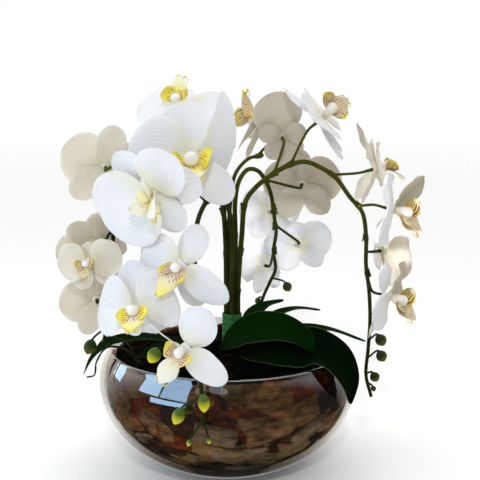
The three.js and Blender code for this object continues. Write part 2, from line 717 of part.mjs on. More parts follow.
// A stalk that leaves the stem and runs straight into the back of its bloom.
function pedicel(curve, bloom) {
  const forward = facing(bloom);
  const end = vector(bloom.hub).addScaledVector(forward, -(HUB_HALF_DEPTH + SEAT_GAP));
  const root = curve.getPointAt(bloom.at);
  const via = (bloom.via ?? []).map(vector);
  const reach = Math.min(bloom.reach ?? STALK_REACH, root.distanceTo(end) * 0.45);
  const bend = end.clone().addScaledVector(forward, -reach);
  const points = [root, ...via, bend, end.clone().addScaledVector(forward, -reach / 3), end];
  return tube(points, () => PEDICEL_RADIUS, 4, 3 + 2 * via.length);
}

// A bud on its own thin stalk, which swells into it.
function bud(curve, { tip, size: [radius, half], at }) {
  const root = curve.getPointAt(at);
  const end = vector(tip);
  const away = end.clone().sub(root).normalize();
  const hang = new THREE.Vector3(away.x * 0.5, away.y * 0.5, -0.85).normalize();
  const top = end.clone().addScaledVector(hang, -half);
  const bottom = end.clone().addScaledVector(hang, half);
  const steps = 6;
  const total = root.distanceTo(top) + 2 * half;
  const budShare = (2 * half) / total;
  const radiusAt = (share) => {
    const inside = (share - 1 + budShare) / budShare;
    if (inside <= 0) return 1;
    return Math.max(1, radius * Math.sin(Math.PI * Math.min(0.93, inside)) ** 0.6);
  };
  return tube([root, top, end, bottom], radiusAt, 5, steps);
}

// One spike: a straight foot in the bundle, then a stem that grows thinner to its tip, with its
// stalks and buds fused to it.
function buildSpike(name, { slot, path, buds }) {
  const [x, y] = bundlePlace(slot);
  const heights = [STEM_FOOT_Z, SLEEVE_TOP_Z, SLEEVE_TOP_Z + 20];
  const [low, join, top] = heights.map((z) => new THREE.Vector3(x, y, z));
  const points = [join, top, ...path.map(vector)];
  const curve = new THREE.CatmullRomCurve3(points, false, "centripetal");
  const radiusAt = (share) => STEM_RADIUS * (1 - 0.4 * share);
  const pieces = [tube([low, top], () => STEM_RADIUS, 5, 1), tube(points, radiusAt, 5, STEM_STEPS)];
  BLOOMS[name].forEach((bloom) => pieces.push(pedicel(curve, bloom)));
  buds.forEach((one) => pieces.push(bud(curve, one)));
  addPiece(arrangement, `${name}_spike`, toGeometry(fuse(pieces)), "stem");
}

function buildBlooms(name) {
  BLOOMS[name].forEach((bloom, index) => {
    const group = new THREE.Group();
    group.position.set(...bloom.hub);
    group.setRotationFromMatrix(bloomBasis(bloom));
    arrangement.add(group);
    const label = `${name}_bloom_${index + 1}`;
    addPiece(group, `${label}_petals`, bloomTepals(bloom), "petal");
    addPiece(group, `${label}_lip`, toGeometry(bloomLip(bloom)), "lip");
  });
}

// A strap leaf: a creased blade along its middle line, on a short stalk that stands in the moss.
function buildLeaf(name, { line, half, face }) {
  const [x, y] = line[0];
  const rootZ = mossTop(Math.hypot(x, y)) + LEAF_ROOT_RISE;
  const points = [new THREE.Vector3(x, y, rootZ), ...line.slice(1).map(vector)];
  const curve = new THREE.CatmullRomCurve3(points, false, "centripetal");
  const [rootFace, tipFace] = face.map(vector);
  const surface = (t, s) => {
    const share = Math.min(1, Math.max(0, t));
    const here = curve.getPointAt(share);
    const along = curve.getTangentAt(share);
    const upward = rootFace.clone().lerp(tipFace, share);
    const side = new THREE.Vector3().crossVectors(along, upward).normalize();
    const normal = new THREE.Vector3().crossVectors(side, along);
    const wide = Math.max(1.8, half * Math.sin(Math.PI * share ** 0.85) ** 0.7);
    return here.addScaledVector(side, s * wide).addScaledVector(normal, Math.abs(s) * wide * 0.16);
  };
  const foot = new THREE.Vector3(x, y, STALK_FOOT_Z);
  const head = new THREE.Vector3(x, y, rootZ + 4);
  const stalk = tube([foot, head], () => STALK_RADIUS, 5, 1);
  addPiece(arrangement, name, toGeometry(fuse([stalk, blade(surface, 6, 2, LEAF_THICKNESS)])), "leaf");
}

// The aerial roots: they leave one peg in the moss and run over the rim of the bowl.
function buildRoots() {
  const [x, y] = ROOT_FOOT;
  const head = new THREE.Vector3(x, y, mossTop(Math.hypot(x, y)) + 6);
  const pieces = [tube([new THREE.Vector3(x, y, STALK_FOOT_Z), head], () => STALK_RADIUS, 5, 1)];
  ROOTS.forEach((way) => {
    const sunk = new THREE.Vector3(x, y, head.z - 3);
    pieces.push(tube([sunk, ...way.map(vector)], () => ROOT_RADIUS, 4, 8));
  });
  addPiece(arrangement, "aerial_roots", toGeometry(fuse(pieces)), "root");
}

buildBowl();
buildFoam();
buildBark();
buildMoss();
buildSleeve();
Object.entries(SPIKES).forEach(([name, spike]) => buildSpike(name, spike));
Object.keys(BLOOMS).forEach(buildBlooms);
Object.entries(LEAVES).forEach(([name, leaf]) => buildLeaf(name, leaf));
buildRoots();

export default arrangement;
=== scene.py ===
# A tabletop centerpiece: white moth orchids in a low round bowl of smoked glass.
# Lengths are in millimetres where nothing else is said, and meshes are built in metres.
import math

import bpy
import numpy as np
from mathutils import Matrix, Vector


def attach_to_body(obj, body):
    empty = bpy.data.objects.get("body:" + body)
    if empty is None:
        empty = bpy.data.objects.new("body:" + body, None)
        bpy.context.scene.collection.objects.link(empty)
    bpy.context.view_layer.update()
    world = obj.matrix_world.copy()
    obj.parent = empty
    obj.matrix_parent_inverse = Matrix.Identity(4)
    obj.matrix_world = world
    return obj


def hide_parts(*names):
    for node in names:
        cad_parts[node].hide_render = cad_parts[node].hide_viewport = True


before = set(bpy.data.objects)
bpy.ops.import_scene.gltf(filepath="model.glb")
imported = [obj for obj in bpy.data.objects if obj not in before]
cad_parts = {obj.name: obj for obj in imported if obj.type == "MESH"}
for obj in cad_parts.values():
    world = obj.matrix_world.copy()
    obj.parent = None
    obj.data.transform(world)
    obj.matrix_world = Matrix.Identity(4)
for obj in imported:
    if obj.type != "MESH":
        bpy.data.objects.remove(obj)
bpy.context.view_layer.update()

MM = 0.001

# Driving dimensions of the bowl and what fills it
BOWL_RADIUS = 125
BOWL_WIDEST_Z = 87
BOWL_LOWER_DEPTH = 93
BOWL_UPPER_DEPTH = 80
BOWL_RIM_Z = 117
BOWL_WALL = 3.8
BOWL_FLOOR_Z = 5
FOAM_RADIUS = 46
FOAM_BOTTOM_Z = 12
BARK_TOP_Z = 97
BARK_TO_GLASS = 4.5
MOSS_EDGE_Z = 104
MOSS_MIDDLE_Z = 120
MOSS_BOTTOM_Z = 98
MOSS_INSET = 7
MOSS_STRANDS = 420
STRAND_LENGTHS = (9, 22)
CHIP_LENGTHS = (26, 52)
CHIP_WIDTHS = (13, 24)
CHIP_THICKNESSES = (3.5, 5)
SHOWN_CHIP_THICKNESS = 2.2
SHOWN_CHIP_DEPTH = 1.7

# Driving dimensions of the stems
BUNDLE_X = 4.3
BUNDLE_RING = 5.7
STEM_RADIUS = 2.6
STEM_FOOT_Z = 40
SLEEVE_BOTTOM_Z = 122
SLEEVE_TOP_Z = 151
TAPE_PITCH = 6.5
TAPE_CLEARANCE = 0.4
TAPE_THICKNESS = 0.45
TAPE_STEP = 0.55
TAPE_LOBE = 0.35
PEDICEL_RADIUS = 1.4
STALK_REACH = 14

# Driving dimensions of one bloom at full size
HUB_REACH = 4.2
HUB_HALF_DEPTH = 3.4
SEAT_GAP = 0.3
PETAL_THICKNESS = 0.8
CLAW = 1.4
LIP_GROWTH = 1.15
SEPAL = {"length": 44, "width": 33, "widest": 1.05, "tilt": -6, "curl": 0.05, "cup": -0.1}
PETAL = {"length": 46, "width": 58, "widest": 0.9, "tilt": 4, "curl": 0.1, "cup": 0.08}

# The sepals and petals of a bloom: the key of its own values in BLOOMS, form, turn in degrees
# (90 is upward) and layer
TEPALS = [
    ("dorsal", SEPAL, 90, -0.9),
    ("left", PETAL, 172, 1.9),
    ("laterals", SEPAL, 232, -0.7),
    ("laterals", SEPAL, -52, -2.3),
    ("right", PETAL, 8, 1.9),
]

# Driving dimensions of the leaves and roots
LEAF_THICKNESS = 1.3
STALK_RADIUS = 2.2
STALK_FOOT_Z = 100
LEAF_ROOT_RISE = 3
ROOT_FOOT = (-84, -42)
ROOT_RADIUS = 1.2

# The lights, in metres and watts. Each pane of a wall that faces the bowl has its azimuth in
# degrees, its spans across and upward, and its power. OVERHEAD and FRONT are a place, a target, a
# size, a power and a colour, and a beam is a place, a target and a power.
WALL_DISTANCE = 1.6
PANE_COLOUR = (0.45, 0.72, 1.0)
PANES = {
    "window_left": (-56, (-0.72, -0.1), (0.32, 1.32), 6.8),
    "window_right": (-56, (-0.05, 0.66), (0.32, 1.32), 6.2),
    "window_low": (-56, (-0.3, 0.9), (0.02, 0.24), 3),
    "window_far": (-112, (-0.2, 0.2), (0.2, 0.9), 3),
}
DAYLIGHT_COLOUR = (0.7, 0.86, 1.0)
DAYLIGHT = {
    "daylight": (-56, (-0.72, 0.66), (0.1, 1.32), 12),
    "daylight_far": (-112, (-0.2, 0.2), (0.2, 0.9), 2.4),
}
OVERHEAD = ((0.5, -0.6, 2.2), (0, 0, 0.2), (1.4, 1.4), 6, (1.0, 0.95, 0.88))
FRONT = ((0.04, -1.9, 1.33), (0.03, 0, 0.2), (0.13, 0.13), 14, (0.95, 0.98, 1.0))
BEAM_SIZE = (0.04, 0.04)
BEAM_SPREAD = 7
BEAMS = {
    "back_cluster": ((0.3, -1.0, 0.45), (0.02, 0.1, 0.195), 0.018),
    "right_cluster": ((-0.6, -1.3, 0.6), (0.155, -0.03, 0.24), 0.05),
}

# The strength of the sky grows upward and, by a share of that, towards the back
SKY_BACK_SHARE = 0.9
SKY_FULL_AT = 0.82
SKY_DARKEST = 0.03
SKY_BRIGHTEST = 1.15

# The floor and the backdrop, in metres, and the camera, whose focal length is in pixels
FLOOR_REACH = 6.0
FLOOR_DROP = 0.0005
FLOOR_GLOW = 0.08
FLOOR_FADE = 0.25
FLOOR_FADE_GAIN = 1.4
BACKDROP_REACH = 12.0
PHOTO_SIZE = 480
FOCAL_LENGTH = 1058
SENSOR_WIDTH = 36
CAMERA_PLACE = (0.012, -1.003, 0.398)
CAMERA_DROP = 9.9

# Each bloom: its middle, the way it faces and its upward turn in degrees, its size, the share of
# the stem where its stalk leaves, and what is its own. A tone other than white, on a whole bloom or
# on one of its petals, is painted shade.
BLOOMS = {
    "left": [
        dict(hub=(-43, -22, 350), yaw=-25, pitch=52, up=262, size=0.88, at=0.4),
        dict(hub=(-110, -45, 298), yaw=188, pitch=4, up=76, size=0.84, at=0.58, tone="cream"),
        dict(hub=(-60, -132, 288), yaw=-26, pitch=-16, up=156, size=1, at=0.63, lip=1.25,
             lobes="ivory", column="butter",
             via=[(-80, -112, 279)], reach=6,
             left=dict(turn=155, width=72, length=58, tilt=8),
             right=dict(turn=-2, width=48, length=38), laterals=dict(length=40)),
        dict(hub=(-124, -50, 229), yaw=200, pitch=20, up=128, size=0.68, at=0.75, tone="cream"),
        dict(hub=(-120, -90, 219), yaw=-14, pitch=0, up=100, size=0.6, at=0.82, tone="cream",
             dorsal=dict(length=24, width=24)),
        dict(hub=(-119, -58, 178), yaw=190, pitch=4, up=106, size=0.68, at=0.905, tone="cream"),
        dict(hub=(-75, -136, 187), yaw=-10, pitch=10, up=101, size=0.9, at=0.83,
             lobes="ringed", lobe_rise=1, lip_spread=2.0,
             left=dict(turn=162, tilt=-4, length=35, width=58, widest=1.4),
             right=dict(turn=20, tilt=-4, length=36, width=62, widest=1.4),
             laterals=dict(tilt=-30, length=28, width=24, widest=1.4)),
    ],
    "front": [
        dict(hub=(-30, -102, 310), yaw=4, pitch=6, up=96, size=1.1, at=0.43, lip=1.25, droop=11,
             via=[(-38, -66, 290)], dorsal=dict(width=44), left=dict(turn=166, width=62),
             right=dict(turn=4, tilt=-22, twist=-40, width=94, length=38,
                        widest=1.8, curl=0.17, cup=-0.28, layer=-2.6),
             laterals=dict(length=42, width=28, tilt=6)),
        dict(hub=(-37, -130, 223), yaw=-24, pitch=4, up=66, size=0.8, at=0.67, droop=25,
             lobes="striped", lobe_rise=-3,
             left=dict(turn=190), right=dict(turn=-10, tilt=0, width=34, length=58),
             laterals=dict(tilt=-16)),
        dict(hub=(-33, -157, 160), yaw=-26, pitch=-10, up=58, size=0.82, at=0.84, droop=26,
             lobes="snow", lip_spread=1.7,
             dorsal=dict(width=42, length=44),
             left=dict(turn=190, twist=50, width=24, tilt=-4, widest=1.6),
             right=dict(turn=-10, tilt=0, width=38, length=50),
             laterals=dict(tilt=-20, length=30, width=18, widest=1.8)),
    ],
    "top": [dict(hub=(31, 45, 330), yaw=-104, pitch=34, up=300, size=0.8, at=0.97, lip=1.6,
                 tone="cream")],
    "right": [
        dict(hub=(52, 12, 321), yaw=186, pitch=12, up=19, size=0.8, at=0.34, tone="sand_shade", lobes="cream",
             dorsal=dict(length=26, width=26), left=dict(length=30, width=40),
             right=dict(length=52, width=60), laterals=dict(length=26, width=24)),
        dict(hub=(88, -10, 340), yaw=78, pitch=42, up=136, size=0.95, at=0.38, lip=1.2, lip_turn=76,
             lobes="cream", laterals=dict(length=46)),
        dict(hub=(144, 18, 290), yaw=92, pitch=14, up=105, size=0.84, at=0.478, tone="cream",
             ruffling=2, dorsal=dict(length=54), laterals=dict(tilt=-34, width=26)),
        dict(hub=(153, -30, 257), yaw=70, pitch=-12, up=84, size=0.86, at=0.566, roll=35, lip=1.4,
             ruffling=2.4, lobes="blotched", right=dict(tilt=26, length=52, width=50, tone="beige_shade")),
        dict(hub=(154, 24, 208), yaw=108, pitch=0, up=96, size=0.76, at=0.64, roll=24, tone="cream",
             ruffling=2.4, left=dict(tilt=25), right=dict(tilt=25), laterals=dict(tilt=18, length=48)),
        dict(hub=(152, -30, 174), yaw=64, pitch=-12, up=80, size=0.8, at=0.718, roll=30, lip=1.4,
             ruffling=2.4, lobes="blotched", right=dict(tone="beige_shade"),
             laterals=dict(length=50, tone="cream")),
    ],
    "back": [
        dict(hub=(76, 78, 268), yaw=168, pitch=8, up=96, size=0.82, at=0.562, tone="sand_shade", lobes="cream",
             ruffling=2),
        dict(hub=(44, 102, 236), yaw=200, pitch=0, up=86, size=0.7, at=0.666, ruffling=2.4),
        dict(hub=(73, 76, 206), yaw=172, pitch=-18, up=100, size=0.68, at=0.726, ruffling=2.4,
             dorsal=dict(length=28)),
        dict(hub=(36, 92, 180), yaw=226, pitch=0, up=92, size=0.64, at=0.806, reach=6, ruffling=2.4),
    ],
}

# Each spike: its slot in the bundle, the way of its stem above it, and its buds as
# (middle, radius, half length, share of the stem where the stalk leaves)
SPIKES = {
    "front": dict(
        slot=0,
        path=[
            (4.3, -5, 225), (1, -9, 255), (-6, -24, 268), (-14, -44, 271), (-21, -61, 264), (-26, -78, 251),
            (-27, -93, 235), (-27, -106, 213), (-25, -118, 182), (-23, -129, 154), (-22, -132, 128),
            (-20, -133, 102), (-19, -133, 84),
        ],
        tone="lemon",
        buds=[
            ((-62, -124, 144), 6, 7.5, 0.86), ((-19, -138, 106), 5.2, 8, 0.875),
            ((-41, -134, 93), 5.6, 8, 0.93), ((-32, -134, 69), 2.2, 3.4, 0.985),
            ((-15, -132, 70), 2, 3, 0.99),
        ],
    ),
    "right": dict(
        slot=1,
        path=[
            (13.5, -1, 225), (17.7, 0, 261), (27.3, 1, 274), (40.6, 0, 285), (57.5, -3, 295),
            (73.4, -6, 299), (87.5, -8, 294), (101.6, -10, 285), (115.9, -12, 266), (127.5, -12, 252),
            (131.7, -12, 230), (132.3, -12, 201), (135.7, -12, 176), (137.3, -12, 147), (136, -12, 117),
            (134.5, -12, 92), (140, -12, 70),
        ],
        buds=[
            ((148, -12, 127), 5.6, 6.4, 0.868), ((149, -12, 111), 5.4, 6, 0.91),
            ((143, -12, 90), 4.8, 5.2, 0.945), ((142, -12, 78), 2.6, 3, 0.965),
        ],
    ),
    "back": dict(
        slot=2,
        path=[
            (7.5, 5, 225), (7.5, 5, 262), (11, 8, 279), (19, 16, 289), (29, 28, 287), (37, 40, 276),
            (43, 48, 261), (46.5, 51, 238), (48.5, 52, 222), (46, 52, 202), (48, 51, 184), (42, 50, 170),
            (36.6, 49, 158), (32.5, 48, 146),
        ],
        buds=[((60, 50, 166), 4.8, 5.4, 0.9), ((30, 48, 152), 3, 3.6, 0.97)],
    ),
    "top": dict(
        slot=3,
        path=[(1, 7, 225), (3, 9, 262), (7, 14, 284), (14, 20, 294), (23, 27, 300), (33, 34, 300)],
        buds=[],
    ),
    "left": dict(
        slot=4,
        path=[
            (-2, 0, 225), (-5, 0, 258), (-14, -4, 288), (-34, -14, 314), (-60, -32, 322), (-82, -50, 314),
            (-95, -62, 296), (-100, -70, 262), (-102, -72, 226), (-104, -72, 207), (-107, -72, 184),
            (-109, -70, 160), (-112, -68, 142),
        ],
        buds=[((-125, -68, 136), 6, 7.5, 0.97)],
    ),
}

# Each leaf: its middle line from its foot on the moss, half its width, and the way its face
# looks, also at its tip where that differs
LEAVES = {
    "right_front": dict(
        line=[(-6, -23), (6, -27, 133), (22, -33, 142), (50, -46, 146), (70, -60, 141), (79, -70, 132)],
        half=20, face=(0.1, -0.5, 0.85), tip_face=(0.12, -0.66, 0.74)),
    "over_rim": dict(
        line=[(14, -42), (36, -48, 126), (62, -54, 129), (84, -60, 129.5), (100, -68, 123),
              (112, -73, 104), (114, -70, 82)],
        half=26, face=(0.1, -0.4, 0.9), tip_face=(0.7, -0.6, 0.4), tone="deep"),
    "back_short": dict(
        line=[(14, 18), (22, 22, 138), (36, 30, 150), (56, 38, 155)],
        half=13, face=(-0.2, -0.1, 0.97)),
    "back_middle": dict(
        line=[(26, 8), (40, 14, 140), (66, 20, 150), (92, 24, 148)],
        half=9, face=(-0.1, -0.05, 0.99)),
    "right_long": dict(
        line=[(30, -12), (52, -6, 134), (94, -4, 136), (134, -6, 124)],
        half=8, face=(0.1, -0.1, 0.99)),
    "left": dict(
        line=[(-30, -14), (-56, -20, 129), (-86, -26, 133), (-112, -30, 129), (-128, -31, 116),
              (-137, -32, 99)],
        half=9, face=(-0.12, -0.2, 0.97)),
    "left_short": dict(
        line=[(-22, -34), (-44, -40, 124), (-64, -48, 126), (-86, -56, 122)],
        half=10, face=(-0.1, -0.3, 0.95)),
}

ROOTS = [
    [(-94, -41, 131), (-113, -40, 137), (-126, -44, 122), (-133, -46, 107)],
    [(-94, -43, 125), (-112, -45, 129), (-122, -49, 116), (-124, -52, 104), (-131, -52, 102)],
]


# Curves

def catmull_rom(points):
    """Points along a centripetal Catmull-Rom curve, as an array."""
    samples = 24
    p = [np.array(point, float) for point in points]
    p = [2 * p[0] - p[1]] + p + [2 * p[-1] - p[-2]]
    out = []
    for a, b, c, d in zip(p, p[1:], p[2:], p[3:]):
        gap_1, gap_2, gap_3 = (max(np.linalg.norm(step) ** 0.5, 1e-4) for step in (b - a, c - b, d - c))
        slope_1 = ((b - a) / gap_1 - (c - a) / (gap_1 + gap_2) + (c - b) / gap_2) * gap_2
        slope_2 = ((c - b) / gap_2 - (d - b) / (gap_2 + gap_3) + (d - c) / gap_3) * gap_2
        cubic = 2 * b - 2 * c + slope_1 + slope_2
        square = -3 * b + 3 * c - 2 * slope_1 - slope_2
        for i in range(samples):
            t = i / samples
            out.append(b + slope_1 * t + square * t ** 2 + cubic * t ** 3)
    out.append(p[-2])
    return np.array(out)


class Way:
    """A curve that is read by the share of its length."""

    def __init__(self, points):
        self.points = catmull_rom(points)
        steps = np.linalg.norm(np.diff(self.points, axis=0), axis=1)
        self.reached = np.concatenate([[0], np.cumsum(steps)])
        self.length = self.reached[-1]

    def at(self, share):
        want = np.clip(share, 0, 1) * self.length
        return np.stack([np.interp(want, self.reached, self.points[:, k]) for k in range(3)], axis=-1)

    def tangent(self, share):
        step = 2e-3
        return unit(self.at(np.minimum(share + step, 1)) - self.at(np.maximum(share - step, 0)))


def unit(v):
    return v / np.maximum(np.linalg.norm(v, axis=-1, keepdims=True), 1e-12)


# Shapes are (corners, faces, uv of each corner), in millimetres

def closed_blade(surface, rows, columns, thickness):
    """A thin closed blade round the middle layer surface(t, s). It thins towards its edges."""
    edge = 0.25
    t = (1 - np.cos(np.pi * np.arange(rows + 1) / rows)) / 2
    s = np.sin(np.pi / 2 * (2 * np.arange(columns + 1) / columns - 1))
    t, s = np.meshgrid(t, s, indexing="ij")
    middle = surface(t, s)
    step = 1e-3
    t_step = np.where(t > 0.5, -step, step)
    s_step = np.where(s > 0, -step, step)
    along = (surface(t + t_step, s) - middle) / t_step[..., None]
    across = (surface(t, s + s_step) - middle) / s_step[..., None]
    normal = unit(np.cross(across, along))
    inside = np.sqrt(np.clip((1 - s ** 2) * np.clip(14 * (1 - t), 0, 1), 0, 1))
    half = thickness / 2 * (edge + (1 - edge) * inside)[..., None]
    front = (middle + normal * half).reshape(-1, 3)
    back = (middle - normal * half).reshape(-1, 3)
    count = front.shape[0]
    width = columns + 1
    faces = []
    for i, j in np.ndindex(rows, columns):
        a = i * width + j
        b = a + count
        faces.append((a, a + 1, a + width + 1, a + width))
        faces.append((b + width, b + width + 1, b + 1, b))
    border = [i * width + columns for i in range(rows)]
    border += [rows * width + j for j in range(columns, 0, -1)]
    border += [i * width for i in range(rows, 0, -1)]
    border += list(range(columns))
    for here, following in zip(border, border[1:] + border[:1]):
        faces.append((here, here + count, following + count, following))
    uv = np.stack([(s + 1) / 2, t], axis=-1).reshape(-1, 2)
    return np.vstack([front, back]), faces, np.vstack([uv, uv])


def steps_round(count):
    """Even steps of a full turn, in radians."""
    return np.arange(count) / count * math.tau


def ring(radius, angles, z, x=0):
    """Points round an upright axis at x. Each value may be an array."""
    return np.stack(np.broadcast_arrays(x + radius * np.cos(angles), radius * np.sin(angles), z), axis=-1)


def ring_faces(rows, count, sides):
    """Faces in rows, each from one ring to the next. After the last of count rings comes the first."""
    faces = []
    for i in range(rows):
        low = i * sides
        high = (i + 1) % count * sides
        for j in range(sides):
            following = (j + 1) % sides
            faces.append((low + j, low + following, high + following, high + j))
    return faces


def capped(rings, first, last, spans):
    """A closed shape from rings of corners and the middle of each end. Its v is ring over spans."""
    sides = len(rings[0])
    points = np.vstack([*rings, [first], [last]])
    faces = ring_faces(len(rings) - 1, len(rings), sides)
    first_middle = len(rings) * sides
    last_ring = first_middle - sides
    for j in range(sides):
        following = (j + 1) % sides
        faces.append((following, j, first_middle))
        faces.append((last_ring + j, last_ring + following, first_middle + 1))
    uv = [(j / sides, i / spans) for i in range(len(rings)) for j in range(sides)]
    return points, faces, np.array([*uv, (0.5, 0), (0.5, 1)])


def tube(way, radius, sides, steps, ripple=None):
    """A closed round tube along a way. radius(share) gives its radius at each share of it."""
    shares = np.linspace(0, 1, steps + 1)
    middles = way.at(shares)
    tangents = way.tangent(shares)
    normal = unit(np.cross(tangents[0], [0.13, 0.92, 0.37]))
    angles = steps_round(sides)
    rings = []
    for middle, tangent, around in zip(middles, tangents, radius(shares)):
        normal = unit(normal - tangent * np.dot(normal, tangent))
        side = np.cross(tangent, normal)
        if ripple is not None:
            around = around * ripple(angles)
        offset = np.cos(angles)[:, None] * normal + np.sin(angles)[:, None] * side
        rings.append(middle + offset * np.reshape(around, (-1, 1)))
    return capped(rings, middles[0], middles[-1], steps)


def lathe(profile, segments):
    """A closed body of revolution. The profile runs from the axis round to the axis again."""
    angles = steps_round(segments)
    rings = [ring(radius, angles, z) for radius, z in profile[1:-1]]
    return capped(rings, (0, 0, profile[0][1]), (0, 0, profile[-1][1]), len(rings))


def moved(shape, matrix):
    points, faces, uv = shape
    m = np.array(matrix)
    return points @ m[:3, :3].T + m[:3, 3], faces, uv


def moved_parts(parts, matrix):
    return [(moved(shape, matrix), finish) for shape, finish in parts]


def add_object(name, data):
    obj = bpy.data.objects.new(name, data)
    bpy.context.scene.collection.objects.link(obj)
    return obj


def add_piece(name, parts, node):
    """One object from shapes, each with its material: parts is a list of (shape, material)."""
    materials = list(dict.fromkeys(material for _, material in parts))
    points, faces, uvs, slots = [], [], [], []
    offset = 0
    for (own, own_faces, uv), material in parts:
        points.append(own)
        uvs.append(uv)
        faces += [tuple(corner + offset for corner in face) for face in own_faces]
        slots += [materials.index(material)] * len(own_faces)
        offset += len(own)
    mesh = bpy.data.meshes.new(name)
    mesh.from_pydata((np.vstack(points) * MM).tolist(), [], faces)
    mesh.polygons.foreach_set("material_index", slots)
    mesh.polygons.foreach_set("use_smooth", [True] * len(faces))
    corner_of = np.empty(len(mesh.loops), dtype=np.int32)
    mesh.loops.foreach_get("vertex_index", corner_of)
    layer = mesh.uv_layers.new(name="UVMap")
    layer.data.foreach_set("uv", np.vstack(uvs)[corner_of].astype(np.float32).ravel())
    mesh.update()
    obj = add_object(name, mesh)
    for material in materials:
        mesh.materials.append(material)
    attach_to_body(obj, "root")
    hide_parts(node)
    return obj


# Materials

class Nodes:
    """A small helper that builds the nodes of a material, or of the world."""

    def __init__(self, name, owners=bpy.data.materials, shader="Principled BSDF"):
        self.data = owners.new(name)
        self.data.use_nodes = True
        self.tree = self.data.node_tree
        self.shader = self.tree.nodes[shader]

    def feed(self, socket, value):
        """Gives a socket a number, a colour, a vector or what another node puts out."""
        if isinstance(value, bpy.types.NodeSocket):
            self.tree.links.new(value, socket)
        elif socket.type == "RGBA":
            socket.default_value = (*value, 1)
        else:
            socket.default_value = value

    def set(self, **values):
        for key, value in values.items():
            self.feed(self.shader.inputs[key.replace("_", " ")], value)

    def node(self, kind, sockets, **settings):
        """A new node. Its sockets are given by their names or numbers."""
        made = self.tree.nodes.new(kind)
        for key, value in settings.items():
            setattr(made, key, value)
        for key, value in sockets.items():
            self.feed(made.inputs[key], value)
        return made

    def place(self, kind="Object"):
        return self.node("ShaderNodeTexCoord", {}).outputs[kind]

    def split(self, vector):
        return self.node("ShaderNodeSeparateXYZ", {0: vector}).outputs

    def stretched(self, vector, scale):
        return self.node("ShaderNodeMapping", {"Vector": vector, "Scale": scale}).outputs[0]

    def math(self, operation, *values, clamp=False):
        sockets = dict(enumerate(values))
        return self.node("ShaderNodeMath", sockets, operation=operation, use_clamp=clamp).outputs[0]

    def times(self, a, b, clamp=False):
        return self.math("MULTIPLY", a, b, clamp=clamp)

    def plus(self, a, b, clamp=False):
        return self.math("ADD", a, b, clamp=clamp)

    def centred(self, source, gain):
        """The source less a half, times the gain."""
        return self.times(self.math("SUBTRACT", source, 0.5), gain)

    def above(self, source, start, gain):
        """How far the source is above the start, times the gain, from 0 to 1."""
        return self.times(self.math("SUBTRACT", source, start, clamp=True), gain, clamp=True)

    def faded(self, source, rate):
        """1 less the source times the rate, and at least 0."""
        return self.math("SUBTRACT", 1.0, self.times(source, rate), clamp=True)

    def noise(self, scale, detail, roughness=0.5, kind="Object", stretch=(1, 1, 1)):
        vector = self.place(kind)
        if stretch != (1, 1, 1):
            vector = self.stretched(vector, stretch)
        sockets = {"Vector": vector, "Scale": scale, "Detail": detail, "Roughness": roughness}
        return self.node("ShaderNodeTexNoise", sockets).outputs["Fac"]

    def ramp(self, factor, stops):
        """A colour ramp. The stops are positions with colours or greys."""
        made = self.node("ShaderNodeValToRGB", {0: factor})
        elements = made.color_ramp.elements
        while len(elements) < len(stops):
            elements.new(0.5)
        for element, (position, colour) in zip(elements, stops):
            element.position = position
            element.color = (*np.broadcast_to(colour, 3), 1)
        return made.outputs[0]

    def mix(self, factor, a, b):
        return self.node("ShaderNodeMix", {0: factor, 6: a, 7: b}, data_type="RGBA").outputs[2]

    def facing(self, blend, power):
        """A share that grows from what is seen face on to what is seen edge on."""
        edge = self.node("ShaderNodeLayerWeight", {"Blend": blend}).outputs["Facing"]
        return self.math("POWER", edge, power)

    def span(self, factor, low, high, full=1.0):
        """From low, where the factor is 0, to high, where it is full."""
        sockets = {"Value": factor, "From Max": full, "To Min": low, "To Max": high}
        return self.node("ShaderNodeMapRange", sockets).outputs[0]

    def finish(self, colour, bump, roughness):
        """The base colour, with bump (height, strength, distance) and roughness (factor, low, high)."""
        height, strength, distance = bump
        sockets = {"Height": height, "Strength": strength, "Distance": distance}
        normal = self.node("ShaderNodeBump", sockets).outputs[0]
        self.set(Base_Color=colour, Normal=normal, Roughness=self.span(*roughness))


def fan_of_veins(n, count):
    """Fine lines that spread from the root of a blade to its edges, from its own two coordinates."""
    u, v, _ = n.split(n.place("UV"))
    waver = n.times(n.noise(9, 2, kind="UV"), 3.0)
    wave = n.math("SINE", n.plus(n.centred(u, count), waver))
    return u, v, n.times(n.plus(wave, 1.0), 0.5)


def petal_material(name, light, shade, throat):
    n = Nodes(name)
    _, v, veins = fan_of_veins(n, 125)
    cloudy = n.noise(30, 4, 0.55)
    lined = n.mix(n.times(veins, 0.24), n.mix(cloudy, light, shade), shade)
    root = n.times(n.faded(v, 2.4), 0.75)
    height = n.plus(n.times(veins, 0.7), n.times(n.noise(1500, 2), 0.3))
    n.finish(n.mix(root, lined, throat), (height, 0.4, 0.0008), (cloudy, 0.5, 0.68))
    n.set(Subsurface_Weight=0.5, Subsurface_Radius=(0.002, 0.002, 0.0018), Subsurface_Scale=1.0)
    n.set(Sheen_Weight=0.15, Sheen_Roughness=0.5)
    return n.data


